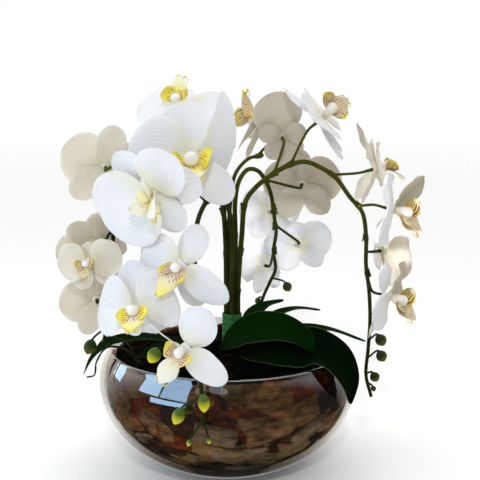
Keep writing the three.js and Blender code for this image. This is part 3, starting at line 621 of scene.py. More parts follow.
def lobe_material(name, root, middle, tip, mark, marked, rare=0.82):
    """A lobe of the lip: three colours from root to tip, with dark red stripes broken into specks."""
    n = Nodes(name)
    u, v, veins = fan_of_veins(n, 40)
    patch = n.noise(220, 3, 0.6)
    along = n.plus(v, n.centred(patch, 0.25))
    base = n.ramp(along, [(0.08, root), (0.5, middle), (0.95, tip)])
    stripes = n.math("SINE", n.plus(n.times(u, 42.0), n.times(patch, 6.0)))
    wanted = n.times(n.plus(stripes, 1.0), n.noise(520, 2))
    spotted = n.math("GREATER_THAN", wanted, rare)
    near_root = n.math("LESS_THAN", along, marked)
    spots = n.times(n.times(spotted, near_root), 0.9)
    n.finish(n.mix(spots, base, mark), (n.plus(veins, patch), 0.3, 0.0005), (patch, 0.42, 0.6))
    n.set(Subsurface_Weight=0.2, Subsurface_Radius=(0.0015, 0.0012, 0.0006), Subsurface_Scale=1.0)
    return n.data


def column_material(name, root, middle, cap):
    n = Nodes(name)
    patch = n.noise(160, 3)
    along = n.plus(n.split(n.place("UV"))[1], n.times(patch, 0.15))
    colour = n.ramp(along, [(0.1, root), (0.45, middle), (0.95, cap)])
    n.finish(colour, (patch, 0.25, 0.0006), (patch, 0.38, 0.52))
    return n.data


def stem_material(name, dark, green, tip, brown):
    n = Nodes(name)
    streaks = n.noise(60, 4, 0.6, stretch=(4, 4, 0.7))
    high = n.above(n.split(n.place())[2], 0.24, 9.0)
    base = n.mix(high, n.mix(streaks, dark, green), n.mix(streaks, green, tip))
    colour = n.mix(n.above(n.noise(22, 3), 0.5, 2.0), base, brown)
    n.finish(colour, (streaks, 0.4, 0.0008), (streaks, 0.38, 0.6))
    n.set(Specular_IOR_Level=0.08)
    return n.data


def bud_material(name, top, bottom):
    n = Nodes(name)
    patch = n.noise(70, 3)
    blend = n.plus(n.times(n.split(n.place("UV"))[1], 0.9), n.times(patch, 0.3))
    n.finish(n.ramp(blend, [(0.45, top), (0.95, bottom)]), (patch, 0.3, 0.0008), (patch, 0.3, 0.5))
    n.set(Specular_IOR_Level=0.2, Coat_Weight=0.06, Coat_Roughness=0.25)
    return n.data


def leaf_material(name, dark, green):
    n = Nodes(name)
    u = n.split(n.place("UV"))[0]
    off_middle = n.math("ABSOLUTE", n.math("SUBTRACT", u, 0.5))
    lines = n.math("SINE", n.times(u, 130.0))
    patch = n.noise(18, 4, 0.55)
    edge = n.times(n.math("GREATER_THAN", off_middle, 0.487), 0.8)
    colour = n.mix(edge, n.mix(patch, dark, green), (0.06, 0.1, 0.03))
    height = n.plus(n.times(lines, 0.18), n.times(n.faded(off_middle, 16.0), -1.0))
    n.finish(colour, (height, 0.4, 0.0012), (patch, 0.4, 0.55))
    n.set(Specular_IOR_Level=0.005)
    return n.data


def bark_material(name, dark, warm, light):
    n = Nodes(name)
    grain = n.noise(60, 6, 0.6, stretch=(1, 1, 2.2))
    base = n.ramp(grain, [(0.28, dark), (0.5, warm), (0.78, light)])
    shaded = n.above(n.noise(28, 4, 0.6), 0.5, 3.5)
    n.finish(n.mix(shaded, base, dark), (grain, 0.9, 0.003), (grain, 0.65, 0.95))
    n.set(Specular_IOR_Level=0.06)
    return n.data


def moss_material():
    n = Nodes("moss_dark")
    grain = n.noise(320, 5, 0.7)
    base = n.ramp(grain, [(0.35, (0.0003, 0.0003, 0.0002)), (0.8, (0.004, 0.0035, 0.002))])
    colour = n.mix(n.noise(30, 3), base, (0.001, 0.0015, 0.0005))
    n.finish(colour, (grain, 1.0, 0.003), (grain, 0.7, 1.0))
    n.set(Specular_IOR_Level=0.02)
    return n.data


def tape_material():
    n = Nodes("tape_green")
    crinkle = n.noise(240, 4, 0.6, stretch=(1, 1, 0.3))
    colour = n.mix(crinkle, (0.008, 0.085, 0.01), (0.03, 0.17, 0.025))
    n.finish(colour, (crinkle, 0.6, 0.0008), (crinkle, 0.4, 0.65))
    return n.data


def foam_material():
    n = Nodes("foam_dry")
    grain = n.noise(400, 4, 0.7)
    colour = n.mix(grain, (0.02, 0.03, 0.012), (0.06, 0.08, 0.035))
    n.finish(colour, (grain, 0.8, 0.002), (grain, 0.85, 1.0))
    return n.data


def glass_material():
    """Smoked glass with a thin mirror-like lustre, faint towards the foot and brown at the edges."""
    n = Nodes("bowl_smoked_glass")
    height = n.plus(n.split(n.place())[2], n.times(n.noise(9, 2), 0.02))
    share = n.math("DIVIDE", height, BOWL_RIM_Z * MM)
    tint = n.ramp(share, [(0.1, (0.2, 0.17, 0.12)), (0.5, (0.44, 0.36, 0.24)), (0.8, (0.45, 0.46, 0.48))])
    coat = n.ramp(share, [(0.02, 0.85), (0.12, 0.5), (0.45, 0.14), (0.6, 0.12), (0.82, 0.42)])
    edge = n.facing(0.5, 2.2)
    rim_tint = n.ramp(share, [(0.1, (0.12, 0.085, 0.05)), (0.5, (0.9, 0.78, 0.56))])
    rim_share = n.ramp(share, [(0.1, 0.95), (0.5, 0.28)])
    swirl = n.noise(22, 2)
    n.finish(n.mix(edge, tint, rim_tint), (swirl, 0.05, 0.002), (swirl, 0.02, 0.05))
    n.set(Alpha=n.plus(coat, n.times(edge, rim_share), clamp=True), Metallic=1.0)
    return n.data


def inner_glass_material():
    """The inside of the wall, which only shows where it is seen edge on."""
    n = Nodes("bowl_inner_glass")
    n.set(Base_Color=n.mix(n.noise(22, 2), (0.3, 0.28, 0.22), (0.36, 0.33, 0.27)))
    n.set(Alpha=n.times(n.facing(0.4, 3.0), 0.35), Metallic=1.0, Roughness=0.05)
    return n.data


def palette(material, prefix, tones):
    """One material for each tone, from its own values."""
    return {tone: material(f"{prefix}_{tone}", *values) for tone, values in tones.items()}


# White is the petals' own colour. The cream, sand and beige tones are darker copies of it: painted shade
# for blooms and petals that face away from the light.
PETALS = palette(petal_material, "petal", {
    "white": ((0.87, 0.855, 0.855), (0.74, 0.75, 0.79), (0.84, 0.8, 0.56)),
    "cream": ((0.83, 0.765, 0.665), (0.67, 0.595, 0.485), (0.71, 0.67, 0.47)),
    "sand_shade": ((0.68, 0.625, 0.54), (0.55, 0.485, 0.39), (0.58, 0.54, 0.39)),
    "beige_shade": ((0.54, 0.49, 0.38), (0.44, 0.395, 0.29), (0.5, 0.48, 0.3)),
})
# Each lip part: its root, middle, tip and mark, how far it is marked, and how rare the marks are
LIPS = palette(lobe_material, "lip", {
    "side": ((0.86, 0.72, 0.5), (0.92, 0.76, 0.04), (0.93, 0.84, 0.16), (0.24, 0.035, 0.02), 0.62),
    "middle": ((0.9, 0.7, 0.03), (0.9, 0.8, 0.2), (0.9, 0.88, 0.74), (0.3, 0.05, 0.02), 0.5),
    "callus": ((0.9, 0.72, 0.04), (0.92, 0.76, 0.05), (0.92, 0.82, 0.2), (0.4, 0.08, 0.02), 0.4),
    "side_pale": ((0.62, 0.43, 0.3), (0.68, 0.54, 0.36), (0.8, 0.66, 0.08), (0.1, 0.015, 0.01), 0.9, 0.88),
    "middle_pale": (
        (0.8, 0.52, 0.05), (0.7, 0.56, 0.3), (0.68, 0.58, 0.42), (0.1, 0.015, 0.01), 0.85, 0.98),
    "ivory": ((0.86, 0.7, 0.3), (0.85, 0.79, 0.6), (0.86, 0.83, 0.74), (0.4, 0.2, 0.04), 0.5, 0.98),
    "striped": ((0.8, 0.62, 0.5), (0.84, 0.66, 0.4), (0.92, 0.76, 0.03), (0.16, 0.03, 0.02), 0.7, 0.72),
    "blotched": (
        (0.66, 0.26, 0.04), (0.68, 0.52, 0.07), (0.6, 0.57, 0.36), (0.06, 0.008, 0.008), 0.85, 0.42),
    "tipped": ((0.78, 0.6, 0.4), (0.84, 0.76, 0.6), (0.92, 0.8, 0.12), (0.2, 0.05, 0.02), 0.55, 0.9),
})
# The materials of the side lobes and of the middle lobe
LOBES = {
    "white": ("side", "middle"),
    "cream": ("side_pale", "middle_pale"),
    "ivory": ("ivory", "ivory"),
    "snow": ("striped", "ivory"),
    "striped": ("striped", "tipped"),
    "ringed": ("side", "tipped"),
    "blotched": ("blotched", "middle_pale"),
}
COLUMNS = palette(column_material, "column", {
    "cream": ((0.8, 0.68, 0.42), (0.86, 0.83, 0.76), (0.9, 0.88, 0.84)),
    "butter": ((0.82, 0.66, 0.25), (0.84, 0.78, 0.52), (0.84, 0.76, 0.4)),
})
STEM = stem_material(
    "stem_olive", (0.004, 0.006, 0.0005), (0.032, 0.04, 0.0025), (0.17, 0.17, 0.012), (0.05, 0.03, 0.01))
BUDS = palette(bud_material, "bud", {
    "lemon": ((0.07, 0.12, 0.012), (0.78, 0.7, 0.02)),
    "olive": ((0.014, 0.032, 0.003), (0.12, 0.135, 0.012)),
})
LEAF_TONES = palette(leaf_material, "leaf", {
    "fresh": ((0.0006, 0.006, 0.0005), (0.0025, 0.02, 0.001)),
    "deep": ((0.0004, 0.0025, 0.0003), (0.001, 0.008, 0.0006)),
})
BARKS = palette(bark_material, "bark", {
    "warm": ((0.03, 0.01, 0.003), (0.2, 0.09, 0.022), (0.6, 0.3, 0.09)),
    "red": ((0.014, 0.0015, 0.0004), (0.14, 0.024, 0.004), (0.36, 0.1, 0.016)),
    "brown": ((0.03, 0.013, 0.004), (0.2, 0.1, 0.04), (0.42, 0.23, 0.1)),
    "grey": ((0.03, 0.018, 0.01), (0.17, 0.112, 0.062), (0.33, 0.235, 0.145)),
    "olive": ((0.03, 0.022, 0.007), (0.2, 0.145, 0.052), (0.36, 0.28, 0.125)),
    "dark": ((0.01, 0.004, 0.002), (0.04, 0.016, 0.006), (0.09, 0.038, 0.014)),
})
MOSS = moss_material()
TAPE = tape_material()
GLASS = glass_material()
INNER_GLASS = inner_glass_material()


# The bowl and what fills it

def bowl_radius(z, inset=0.0):
    depth = np.where(np.asarray(z) < BOWL_WIDEST_Z, BOWL_LOWER_DEPTH, BOWL_UPPER_DEPTH) - inset
    return (BOWL_RADIUS - inset) * np.sqrt(1 - ((z - BOWL_WIDEST_Z) / depth) ** 2)


def build_bowl():
    levels = np.linspace(0, 1, 44) ** 1.35
    outer = [(bowl_radius(z), z) for z in BOWL_RIM_Z * levels]
    inner_z = BOWL_FLOOR_Z + (BOWL_RIM_Z - BOWL_FLOOR_Z) * levels
    inner = [(bowl_radius(z, BOWL_WALL), z) for z in inner_z[::-1]]
    lip_middle = (outer[-1][0] + inner[0][0]) / 2
    half = (outer[-1][0] - inner[0][0]) / 2
    angles = [math.pi * k / 8 for k in range(1, 8)]
    lip = [(lip_middle + half * math.cos(a), BOWL_RIM_Z + 1.5 * math.sin(a)) for a in angles]
    foot = [(inner[-1][0] - 3, BOWL_FLOOR_Z), (0, BOWL_FLOOR_Z)]
    profile = [(0, 0), (outer[0][0] - 3, 0)] + outer + lip + inner + foot
    bowl = add_piece("bowl", [(lathe(profile, segments=144), GLASS)], "glass_bowl")
    bowl.data.materials.append(INNER_GLASS)
    for face in bowl.data.polygons:
        x, y, z = face.center / MM
        inside = math.hypot(x, y) < bowl_radius(min(z, BOWL_RIM_Z), BOWL_WALL / 2)
        if inside and z > BOWL_FLOOR_Z / 2:
            face.material_index = 1


def chip_shape(rng, size):
    """One bark chip: a slab whose corners, faces and edges are all uneven."""
    cuts = (5, 4, 2)
    axes = [np.linspace(-0.5, 0.5, c + 1) for c in cuts]
    index = {}
    faces = []
    for axis in range(3):
        u, v = [a for a in range(3) if a != axis]
        for end in (0, cuts[axis]):
            outward = (end > 0) == (axis != 1)
            for i, j in np.ndindex(cuts[u], cuts[v]):
                quad = []
                for di, dj in ((0, 0), (1, 0), (1, 1), (0, 1)):
                    spot = {axis: end, u: i + di, v: j + dj}
                    quad.append(index.setdefault((spot[0], spot[1], spot[2]), len(index)))
                faces.append(tuple(quad) if outward else tuple(quad[::-1]))
    p = np.array([[axes[k][spot[k]] for k in range(3)] for spot in index])
    p[:, 2] *= 1 - 0.16 * (np.abs(p[:, 0]) * 2) ** 4 - 0.1 * (np.abs(p[:, 1]) * 2) ** 4
    p[:, 1] *= 1 - 0.35 * rng.random() * np.abs(p[:, 0] * 2) ** 2
    p += rng.uniform(-0.055, 0.055, p.shape)
    p[:, 2] += 0.25 * rng.uniform(-1, 1) * p[:, 0] ** 2
    return p * np.array(size), faces, p[:, :2] + 0.5


# Rows of chips against the glass from the foot up: height and count
CHIP_ROWS = [(12, 7), (24, 9), (37, 11), (51, 12), (65, 13), (79, 13), (92, 14), (103, 14)]
FOOT_FINISHES = ["grey", "dark", "brown", "dark", "dark"]
LOW_FINISHES = ["grey", "grey", "brown", "olive", "dark"]
HIGH_FINISHES = ["brown", "red", "warm", "dark", "brown", "red"]

# Large chips that lie against the glass: the way from the middle in degrees, height, length,
# tallness, lean in radians and finish
SHOWN_CHIPS = [
    (-84, 109, 34, 12, 0.05, "olive"),
    (-75, 104, 62, 17, 0.12, "warm"),
    (-78, 92, 66, 13, 0.06, "red"),
    (-58, 88, 44, 12, 0.22, "warm"),
    (-98, 96, 24, 16, 0.5, "red"),
    (-70, 70, 50, 20, 0.3, "brown"),
    (-95, 68, 40, 20, -0.2, "grey"),
    (-50, 62, 40, 20, 0.5, "grey"),
    (-122, 70, 42, 22, -0.6, "brown"),
    (-145, 82, 34, 20, 0.4, "brown"),
    (-84, 46, 52, 18, 0.1, "grey"),
]


def against_glass(shape, angle, height, depth, lean):
    """Bends a chip to lie along the inside of the bowl, with its middle layer depth from the glass."""
    points, faces, uv = shape
    x = points[:, 0] * math.cos(lean) - points[:, 1] * math.sin(lean)
    y = points[:, 0] * math.sin(lean) + points[:, 1] * math.cos(lean)
    rise = (bowl_radius(height + 1, BOWL_WALL) - bowl_radius(height - 1, BOWL_WALL)) / 2
    z = np.clip(height + y / math.hypot(1, rise), BOWL_FLOOR_Z + 4, BOWL_RIM_Z - 4)
    radius = bowl_radius(z, BOWL_WALL + depth) + points[:, 2]
    turn = angle + x / bowl_radius(height)
    return ring(radius, turn, z), faces, uv


def build_bark():
    rng = np.random.default_rng(41)
    inset = BOWL_WALL + BARK_TO_GLASS
    heights = np.linspace(13, BARK_TOP_Z + 8, 16)
    outer = [(bowl_radius(z, inset), z) for z in heights]
    profile = [(0, BOWL_FLOOR_Z + 1.5), (36, BOWL_FLOOR_Z + 1.5)] + outer
    profile += [(outer[-1][0] - 14, BARK_TOP_Z + 8), (outer[-1][0] - 16, BARK_TOP_Z - 4)]
    profile += [(FOAM_RADIUS + 1, BARK_TOP_Z - 4), (FOAM_RADIUS + 1, 40), (36, FOAM_BOTTOM_Z - 0.5)]
    profile.append((0, FOAM_BOTTOM_Z - 0.5))
    # The packed core behind the chips takes the dark finish, which is painted shade for the depths between
    # the chips.
    parts = [(lathe(profile, segments=96), BARKS["dark"])]
    for layer in range(2):
        for row, (height, count) in enumerate(CHIP_ROWS):
            for i in range(count):
                z = height + rng.uniform(-4, 4)
                angle = (i + 0.5 * ((row + layer) % 2) + rng.uniform(-0.3, 0.3)) / count * math.tau
                size = [rng.uniform(*span) for span in (CHIP_LENGTHS, CHIP_WIDTHS, CHIP_THICKNESSES)]
                depth = 2.6 + 1.6 * (1 - layer) + rng.uniform(0, 1)
                names = FOOT_FINISHES if row < 2 else LOW_FINISHES if row < 4 else HIGH_FINISHES
                finish = BARKS[names[int(rng.integers(len(names)))]]
                chip = chip_shape(rng, size)
                parts.append((against_glass(chip, angle, z, depth, rng.uniform(-0.45, 0.45)), finish))
    for degrees, height, length, tall, lean, finish in SHOWN_CHIPS:
        chip = chip_shape(rng, (length, tall, SHOWN_CHIP_THICKNESS))
        bent = against_glass(chip, math.radians(degrees), height, SHOWN_CHIP_DEPTH, lean)
        parts.append((bent, BARKS[finish]))
    add_piece("bark", parts, "bark_chips")


def moss_top(radius):
    share = np.minimum(1, radius / bowl_radius(MOSS_EDGE_Z, MOSS_INSET))
    return MOSS_EDGE_Z + (MOSS_MIDDLE_Z - MOSS_EDGE_Z) * (1 - share ** 1.6)


def wobble(x, y, seed):
    """A smooth uneven surface from a few waves."""
    rng = np.random.default_rng(seed)
    total = np.zeros_like(x)
    for k in range(14):
        length = 5 + 26 * rng.random()
        angle = rng.uniform(0, math.tau)
        phase = rng.uniform(0, math.tau)
        wave = np.sin((x * math.cos(angle) + y * math.sin(angle)) / length * math.tau + phase)
        total += wave * length / 30
    return total / 3


def build_moss():
    rng = np.random.default_rng(97)
    edge = bowl_radius(MOSS_EDGE_Z, MOSS_INSET) - 1
    profile = [(0, MOSS_BOTTOM_Z), (edge, MOSS_BOTTOM_Z)]
    profile += [(radius, moss_top(radius)) for radius in np.linspace(edge, 2, 46)]
    profile.append((0, MOSS_MIDDLE_Z))
    points, faces, uv = lathe(profile, segments=150)
    top = points[:, 2] > MOSS_BOTTOM_Z + 1
    fine = rng.uniform(-0.7, 0.7, len(points))
    lift = wobble(points[:, 0], points[:, 1], 5) * 1.3 + fine
    points[:, 2] += np.where(top, lift, 0)
    parts = [((points, faces, uv), MOSS)]
    for k in range(MOSS_STRANDS):
        radius = edge * math.sqrt(rng.random()) * 0.97
        angle = rng.uniform(0, math.tau)
        x, y = radius * math.cos(angle), radius * math.sin(angle)
        heading = rng.uniform(0, math.tau)
        length = rng.uniform(*STRAND_LENGTHS)
        points = []
        for j in range(4):
            step = length * j / 3
            bend = heading + 0.9 * j / 3 * rng.uniform(-1, 1)
            px, py = x + step * math.cos(bend), y + step * math.sin(bend)
            reach = math.hypot(px, py)
            if reach > edge - 1:
                px, py = px * (edge - 1) / reach, py * (edge - 1) / reach
            arch = rng.uniform(0.5, 3.2) * math.sin(math.pi * j / 3)
            points.append((px, py, moss_top(math.hypot(px, py)) + 0.4 + arch))
        strand = tube(Way(points), lambda share: 0.45 - 0.2 * share, sides=4, steps=5)
        parts.append((strand, MOSS if k % 5 else BARKS["dark"]))
    add_piece("moss_bed", parts, "moss")


def build_sleeve():
    """Stretched tape wound round the five stems, each turn over the one below it."""
    inner = BUNDLE_RING + STEM_RADIUS + TAPE_CLEARANCE
    heights = np.linspace(SLEEVE_BOTTOM_Z, SLEEVE_TOP_Z, 61)
    angles = steps_round(56)
    rings = []
    for z in heights:
        turn = (z - SLEEVE_BOTTOM_Z) / TAPE_PITCH + angles / math.tau
        step = turn - np.floor(turn)
        lobes = TAPE_LOBE * np.cos(5 * (angles + math.pi / 2))
        rings.append(ring(inner + TAPE_THICKNESS + TAPE_STEP * step + lobes, angles, z, BUNDLE_X))
    rings += [ring(inner, angles, z, BUNDLE_X) for z in heights[::-1]]
    points = np.vstack(rings)
    faces = ring_faces(len(rings), len(rings), len(angles))
    uv = np.tile([[0.5, 0.5]], (len(points), 1))
    add_piece("sleeve", [((points, faces, uv), TAPE)], "tape_sleeve")


# Blooms

def half_width(shape, t):
    t = np.clip(t, 0, 1)
    swell = 1 - np.abs(2 * t ** shape["widest"] - 1) ** 2
    end = np.where(t < 0.5, CLAW, 0.3)
    return np.maximum(end, shape["width"] / 2 * np.sqrt(np.clip(swell, 0, 1)))


def tepal_surface(shape, scale, seed, ruffling):
    """The middle layer of one sepal or petal, with soft waves that grow towards its edge."""
    rng = np.random.default_rng(seed)
    swing = math.radians(shape["tilt"])
    twist = math.radians(shape.get("twist", 0))
    phases = rng.uniform(0, math.tau, 4)
    depth = rng.uniform(0.6, 1.1) * shape["width"] / 58 * ruffling

    def surface(t, s):
        wide = half_width(shape, t)
        across = s * wide * np.where(t < 0.02, 1, scale)
        along = t * shape["length"] * scale
        bend = shape["cup"] * (2 * across ** 2 / shape["width"])
        bend = bend - shape["curl"] * shape["length"] * t * t
        ruffle = np.sin(7 * t + 2.2 * s + phases[0]) + 0.6 * np.sin(13 * t - 3 * s + phases[1])
        fold = np.sin(3.1 * s + phases[2]) * np.sin(math.pi * np.clip(t, 0, 1))
        bend = bend + depth * (ruffle * s * s * np.clip(3 * t, 0, 1) + 0.8 * fold)
        crease = -0.8 * np.exp(-(s / 0.09) ** 2) * np.clip(4 * t, 0, 1) * np.clip(2.4 - 2.4 * t, 0, 1)
        bend = bend + crease * shape["width"] / 58
        grown = np.minimum(1, 6 * t)
        turned = twist * grown
        x = across * np.cos(turned) - bend * np.sin(turned) * grown
        lift = across * np.sin(turned) + bend * np.cos(turned) * grown
        y = HUB_REACH - 1 + along * np.cos(swing) - lift * np.sin(swing)
        z = shape["layer"] + along * np.sin(swing) + lift * np.cos(swing)
        return np.stack([x, y, z], axis=-1)

    return surface


def rotation_z(angle):
    return Matrix.Rotation(math.radians(angle), 4, "Z")


def tepals(bloom, seed):
    size = bloom["size"]
    # A tone other than white, from the bloom or from a petal's own values, is painted shade.
    tone = bloom.get("tone", "white")
    parts = []
    for k, (key, form, turn, layer) in enumerate(TEPALS):
        shape = dict(form, turn=turn, layer=layer) | bloom.get(key, {})
        surface = tepal_surface(shape, size, seed * 10 + k, bloom.get("ruffling", 1.2))
        cut = closed_blade(surface, rows=22, columns=16, thickness=PETAL_THICKNESS)
        parts.append((moved(cut, rotation_z(shape["turn"] - 90)), PETALS[shape.get("tone", tone)]))
    back = -HUB_HALF_DEPTH
    profile = [(0, back), (2.6, back + 0.1), (4.3, back + 1.6), (4.7, 0), (4.2, 2.4), (2.2, 3.3), (0, 3.4)]
    parts.append((lathe(profile, segments=16), PETALS[tone]))
    return parts


def lip(bloom):
    """The lip and column: a cap on a curved column, three lobes, a callus and two fine curls."""
    size = bloom["size"] * bloom.get("lip", LIP_GROWTH)
    droop = bloom.get("droop", 14)
    front = HUB_HALF_DEPTH + SEAT_GAP
    rise = bloom.get("lobe_rise", 7.5)

    def placed(x, y, z):
        return np.stack(np.broadcast_arrays(x * size, y * size, z * size + front), axis=-1)

    def middle(t, s):
        share = np.clip(t, 0, 1)
        swell = np.sin(bloom.get("lip_spread", 2.7) * share) ** 2
        wide = (2.4 + 8.2 * swell) * np.sqrt(np.clip(1 - share ** 9, 0.04, 1))
        y = -2.4 - droop * t * np.abs(t) ** 0.5 + 3.2 * s * s * swell
        return placed(s * wide, y, 2.4 + 20 * t - 3 * s * s * swell)

    def side_lobe(hand):
        def surface(t, s):
            end = np.sqrt(np.clip(1 - np.clip(t, 0, 1) ** 5, 0.03, 1))
            wide = (2.2 + 5.6 * np.sin(2.5 * t)) * end
            cup = 2.6 * s * s * np.sin(2 * t)
            x = hand * (1.2 + 15 * t - 2.4 * t * t - cup * 0.5)
            y = -2.6 + rise * t * np.abs(t) + 0.72 * s * wide
            return placed(x, y, 6.4 + 5.4 * t - 0.66 * s * wide + cup)
        return surface

    def column_radius(share):
        return np.interp(share, [0, 0.12, 0.45, 0.72, 0.9, 1], [2.8, 3.0, 4.2, 5.0, 3.8, 0.6]) * size

    def callus_radius(share):
        return np.interp(share, [0, 0.25, 0.5, 0.75, 1], [0.8, 2.2, 2.6, 2.0, 0.5]) * size

    way = Way([placed(0, 0, 0.1), placed(0, 0.5, 4.5), placed(0, 0.4, 9), placed(0, -1.2, 13.2)])
    finishes = LOBES[bloom.get("lobes", bloom.get("tone", "white"))]
    side_finish, middle_finish = (LIPS[key] for key in finishes)
    parts = [
        (tube(way, column_radius, sides=16, steps=16), COLUMNS[bloom.get("column", "cream")]),
        (closed_blade(middle, rows=18, columns=14, thickness=1.0), middle_finish),
    ]
    for hand in (1, -1):
        parts.append((closed_blade(side_lobe(hand), rows=14, columns=12, thickness=0.9), side_finish))
    callus = Way([placed(0, -3.4, 3.2), placed(0, -2.6, 6), placed(0, -4.2, 8.4)])
    parts.append((tube(callus, callus_radius, sides=12, steps=8), LIPS["callus"]))
    for hand in (-1, 1):
        curl = Way([
            placed(hand * 1.2, -2 - droop * 0.97, 18.6), placed(hand * 4, -3 - droop, 20.6),
            placed(hand * 6.4, -1 - droop, 18.4), placed(hand * 6, 1.6 - droop, 16),
        ])
        fine = tube(curl, lambda share: (0.75 - 0.5 * share) * size, sides=6, steps=12)
        parts.append((fine, LIPS["callus"]))
    return moved_parts(parts, rotation_z(bloom.get("lip_turn", 0)))


def facing(bloom):
    yaw = math.radians(bloom["yaw"])
    pitch = math.radians(bloom["pitch"])
    return Vector((math.sin(yaw) * math.cos(pitch), -math.cos(yaw) * math.cos(pitch), math.sin(pitch)))


def bloom_matrix(bloom):
    forward = facing(bloom)
    angle = math.radians(bloom["up"])
    up = Vector((math.cos(angle), 0, math.sin(angle)))
    up = (up - forward * up.dot(forward)).normalized()
    side = up.cross(forward)
    turned = Matrix((side, up, forward)).transposed().to_4x4()
    return Matrix.Translation(bloom["hub"]) @ turned @ rotation_z(bloom.get("roll", 0))


def build_blooms(name):
    for index, bloom in enumerate(BLOOMS[name]):
        matrix = bloom_matrix(bloom)
        seed = 100 * len(name) + index + ord(name[0])
        for kind, slot, parts in (("petals", "petal", tepals(bloom, seed)), ("lip", "lip", lip(bloom))):
            node = f"{name}_bloom_{index + 1}_{kind}"
            add_piece(f"{kind}_{name}_{index + 1}", moved_parts(parts, matrix), node)


# Spikes, with their stalks and buds

def pedicel(way, bloom):
    forward = np.array(facing(bloom))
    end = np.array(bloom["hub"], float) - forward * (HUB_HALF_DEPTH - 0.6)
    root = way.at(bloom["at"])
    reach = min(bloom.get("reach", STALK_REACH), np.linalg.norm(end - root) * 0.45)
    points = [root, *bloom.get("via", []), end - forward * reach, end - forward * reach / 3, end]

    def swell(share):
        head = 0.35 * np.exp(-((share - 1) / 0.12) ** 2)
        foot = 0.5 * np.exp(-(share / 0.07) ** 2)
        return PEDICEL_RADIUS * (0.95 + head + foot)

    return tube(Way(points), swell, sides=9, steps=26)


def bud(way, middle, radius, half, at):
    root = way.at(at)
    end = np.array(middle, float)
    away = unit(end - root)
    hang = unit(np.array([away[0] * 0.5, away[1] * 0.5, -0.85]))
    stalk = Way([root, end - hang * half * 1.05, end])
    body = Way([end - hang * half, end, end + hang * half])

    def swell(share):
        return np.maximum(0.25, radius * np.sin(math.pi * np.clip(share, 0.012, 0.985)) ** 0.62)

    def seams(angles):
        return 1 + 0.05 * np.cos(3 * angles)

    thin = tube(stalk, lambda share: 1.05 - 0.1 * share, sides=7, steps=12)
    return thin, tube(body, swell, sides=20, steps=22, ripple=seams)


def stem_radius(way, nodes):
    def radius(share):
        base = STEM_RADIUS * (1.04 - 0.42 * share)
        for at in nodes:
            gap = (share - at) * way.length
            base = base + 0.55 * np.exp(-(gap / 2.2) ** 2)
        return base
    return radius


def bract(way, at, turn):
    """A small dry scale that clasps the stem under a node."""
    middle = way.at(at)
    along = way.tangent(at)
    side = unit(np.cross(along, [math.cos(turn), math.sin(turn), 0.2]))
    out = np.cross(side, along)

    def surface(t, s):
        around = s * (1.5 - 0.9 * t)
        reach = STEM_RADIUS * 0.85 + 0.5 + 1.6 * t * t
        x = np.sin(around)[..., None] * side * np.asarray(reach)[..., None]
        y = np.cos(around)[..., None] * out * np.asarray(reach)[..., None]
        return middle + x + y + along * (7.5 * t - 1)[..., None]

    return closed_blade(surface, rows=8, columns=8, thickness=0.6)


def build_spike(name):
    spike = SPIKES[name]
    angle = math.radians(-90 + 72 * spike["slot"])
    x = BUNDLE_X + BUNDLE_RING * math.cos(angle)
    y = BUNDLE_RING * math.sin(angle)
    low, join, top = ((x, y, z) for z in (STEM_FOOT_Z, SLEEVE_TOP_Z, SLEEVE_TOP_Z + 20))
    way = Way([join, top, *spike["path"]])
    attach = [bloom["at"] for bloom in BLOOMS[name]]
    nodes = [0.05, 0.14, 0.24] + attach
    parts = [
        (tube(Way([low, join, top]), lambda share: STEM_RADIUS + 0 * share, sides=12, steps=24), STEM),
        (tube(way, stem_radius(way, nodes), sides=12, steps=int(way.length / 2.2)), STEM),
    ]
    for k, at in enumerate(nodes):
        parts.append((bract(way, max(0.02, at - 0.008), k * 2.4 + len(name)), STEM))
    for bloom in BLOOMS[name]:
        parts.append((pedicel(way, bloom), STEM))
    for values in spike["buds"]:
        stalk, body = bud(way, *values)
        parts += [(stalk, STEM), (body, BUDS[spike.get("tone", "olive")])]
    add_piece(f"spike_{name}", parts, f"{name}_spike")


# Leaves and roots

def build_leaf(name, line, half, face, tip_face=None, tone="fresh"):
    x, y = line[0]
    root_z = moss_top(math.hypot(x, y)) + LEAF_ROOT_RISE
    way = Way([(x, y, root_z), *line[1:]])
    root_face = np.array(face)
    change = np.array(tip_face or face) - root_face

    def surface(t, s):
        share = np.clip(t, 0, 1)
        here = way.at(share)
        along = way.tangent(share)
        upward = root_face + change * share[..., None]
        side = unit(np.cross(along, upward))
        normal = np.cross(side, along)
        wide = half * np.sin(math.pi * share ** 0.85) ** 0.7
        wide = np.maximum(wide, np.where(share < 0.5, 1.8, 0.3))
        wave = 0.7 * np.sin(9 * share + 2 * s) * s * s
        rise = np.abs(s) ** 1.3 * wide * 0.16 + wave
        return here + side * (s * wide)[..., None] + normal * rise[..., None]

    stalk = Way([(x, y, STALK_FOOT_Z), (x, y, root_z), (x, y, root_z + 4)])
    parts = [
        (closed_blade(surface, rows=56, columns=14, thickness=LEAF_THICKNESS), LEAF_TONES[tone]),
        (tube(stalk, lambda share: STALK_RADIUS * (1 - 0.3 * share), sides=10, steps=6), LEAF_TONES[tone]),
    ]
    add_piece(f"strap_{name}", parts, f"leaf_{name}")


def build_roots():
    x, y = ROOT_FOOT
    head = moss_top(math.hypot(x, y)) + 6
    peg = Way([(x, y, STALK_FOOT_Z), (x, y, head)])
    parts = [(tube(peg, lambda share: STALK_RADIUS * (1 - 0.25 * share), sides=9, steps=6), STEM)]

    def thin(share):
        return ROOT_RADIUS * (1.05 - 0.45 * share + 0.08 * np.sin(40 * share))

    for points in ROOTS:
        parts.append((tube(Way([(x, y, head - 3), *points]), thin, sides=8, steps=50), STEM))
    add_piece("roots", parts, "aerial_roots")


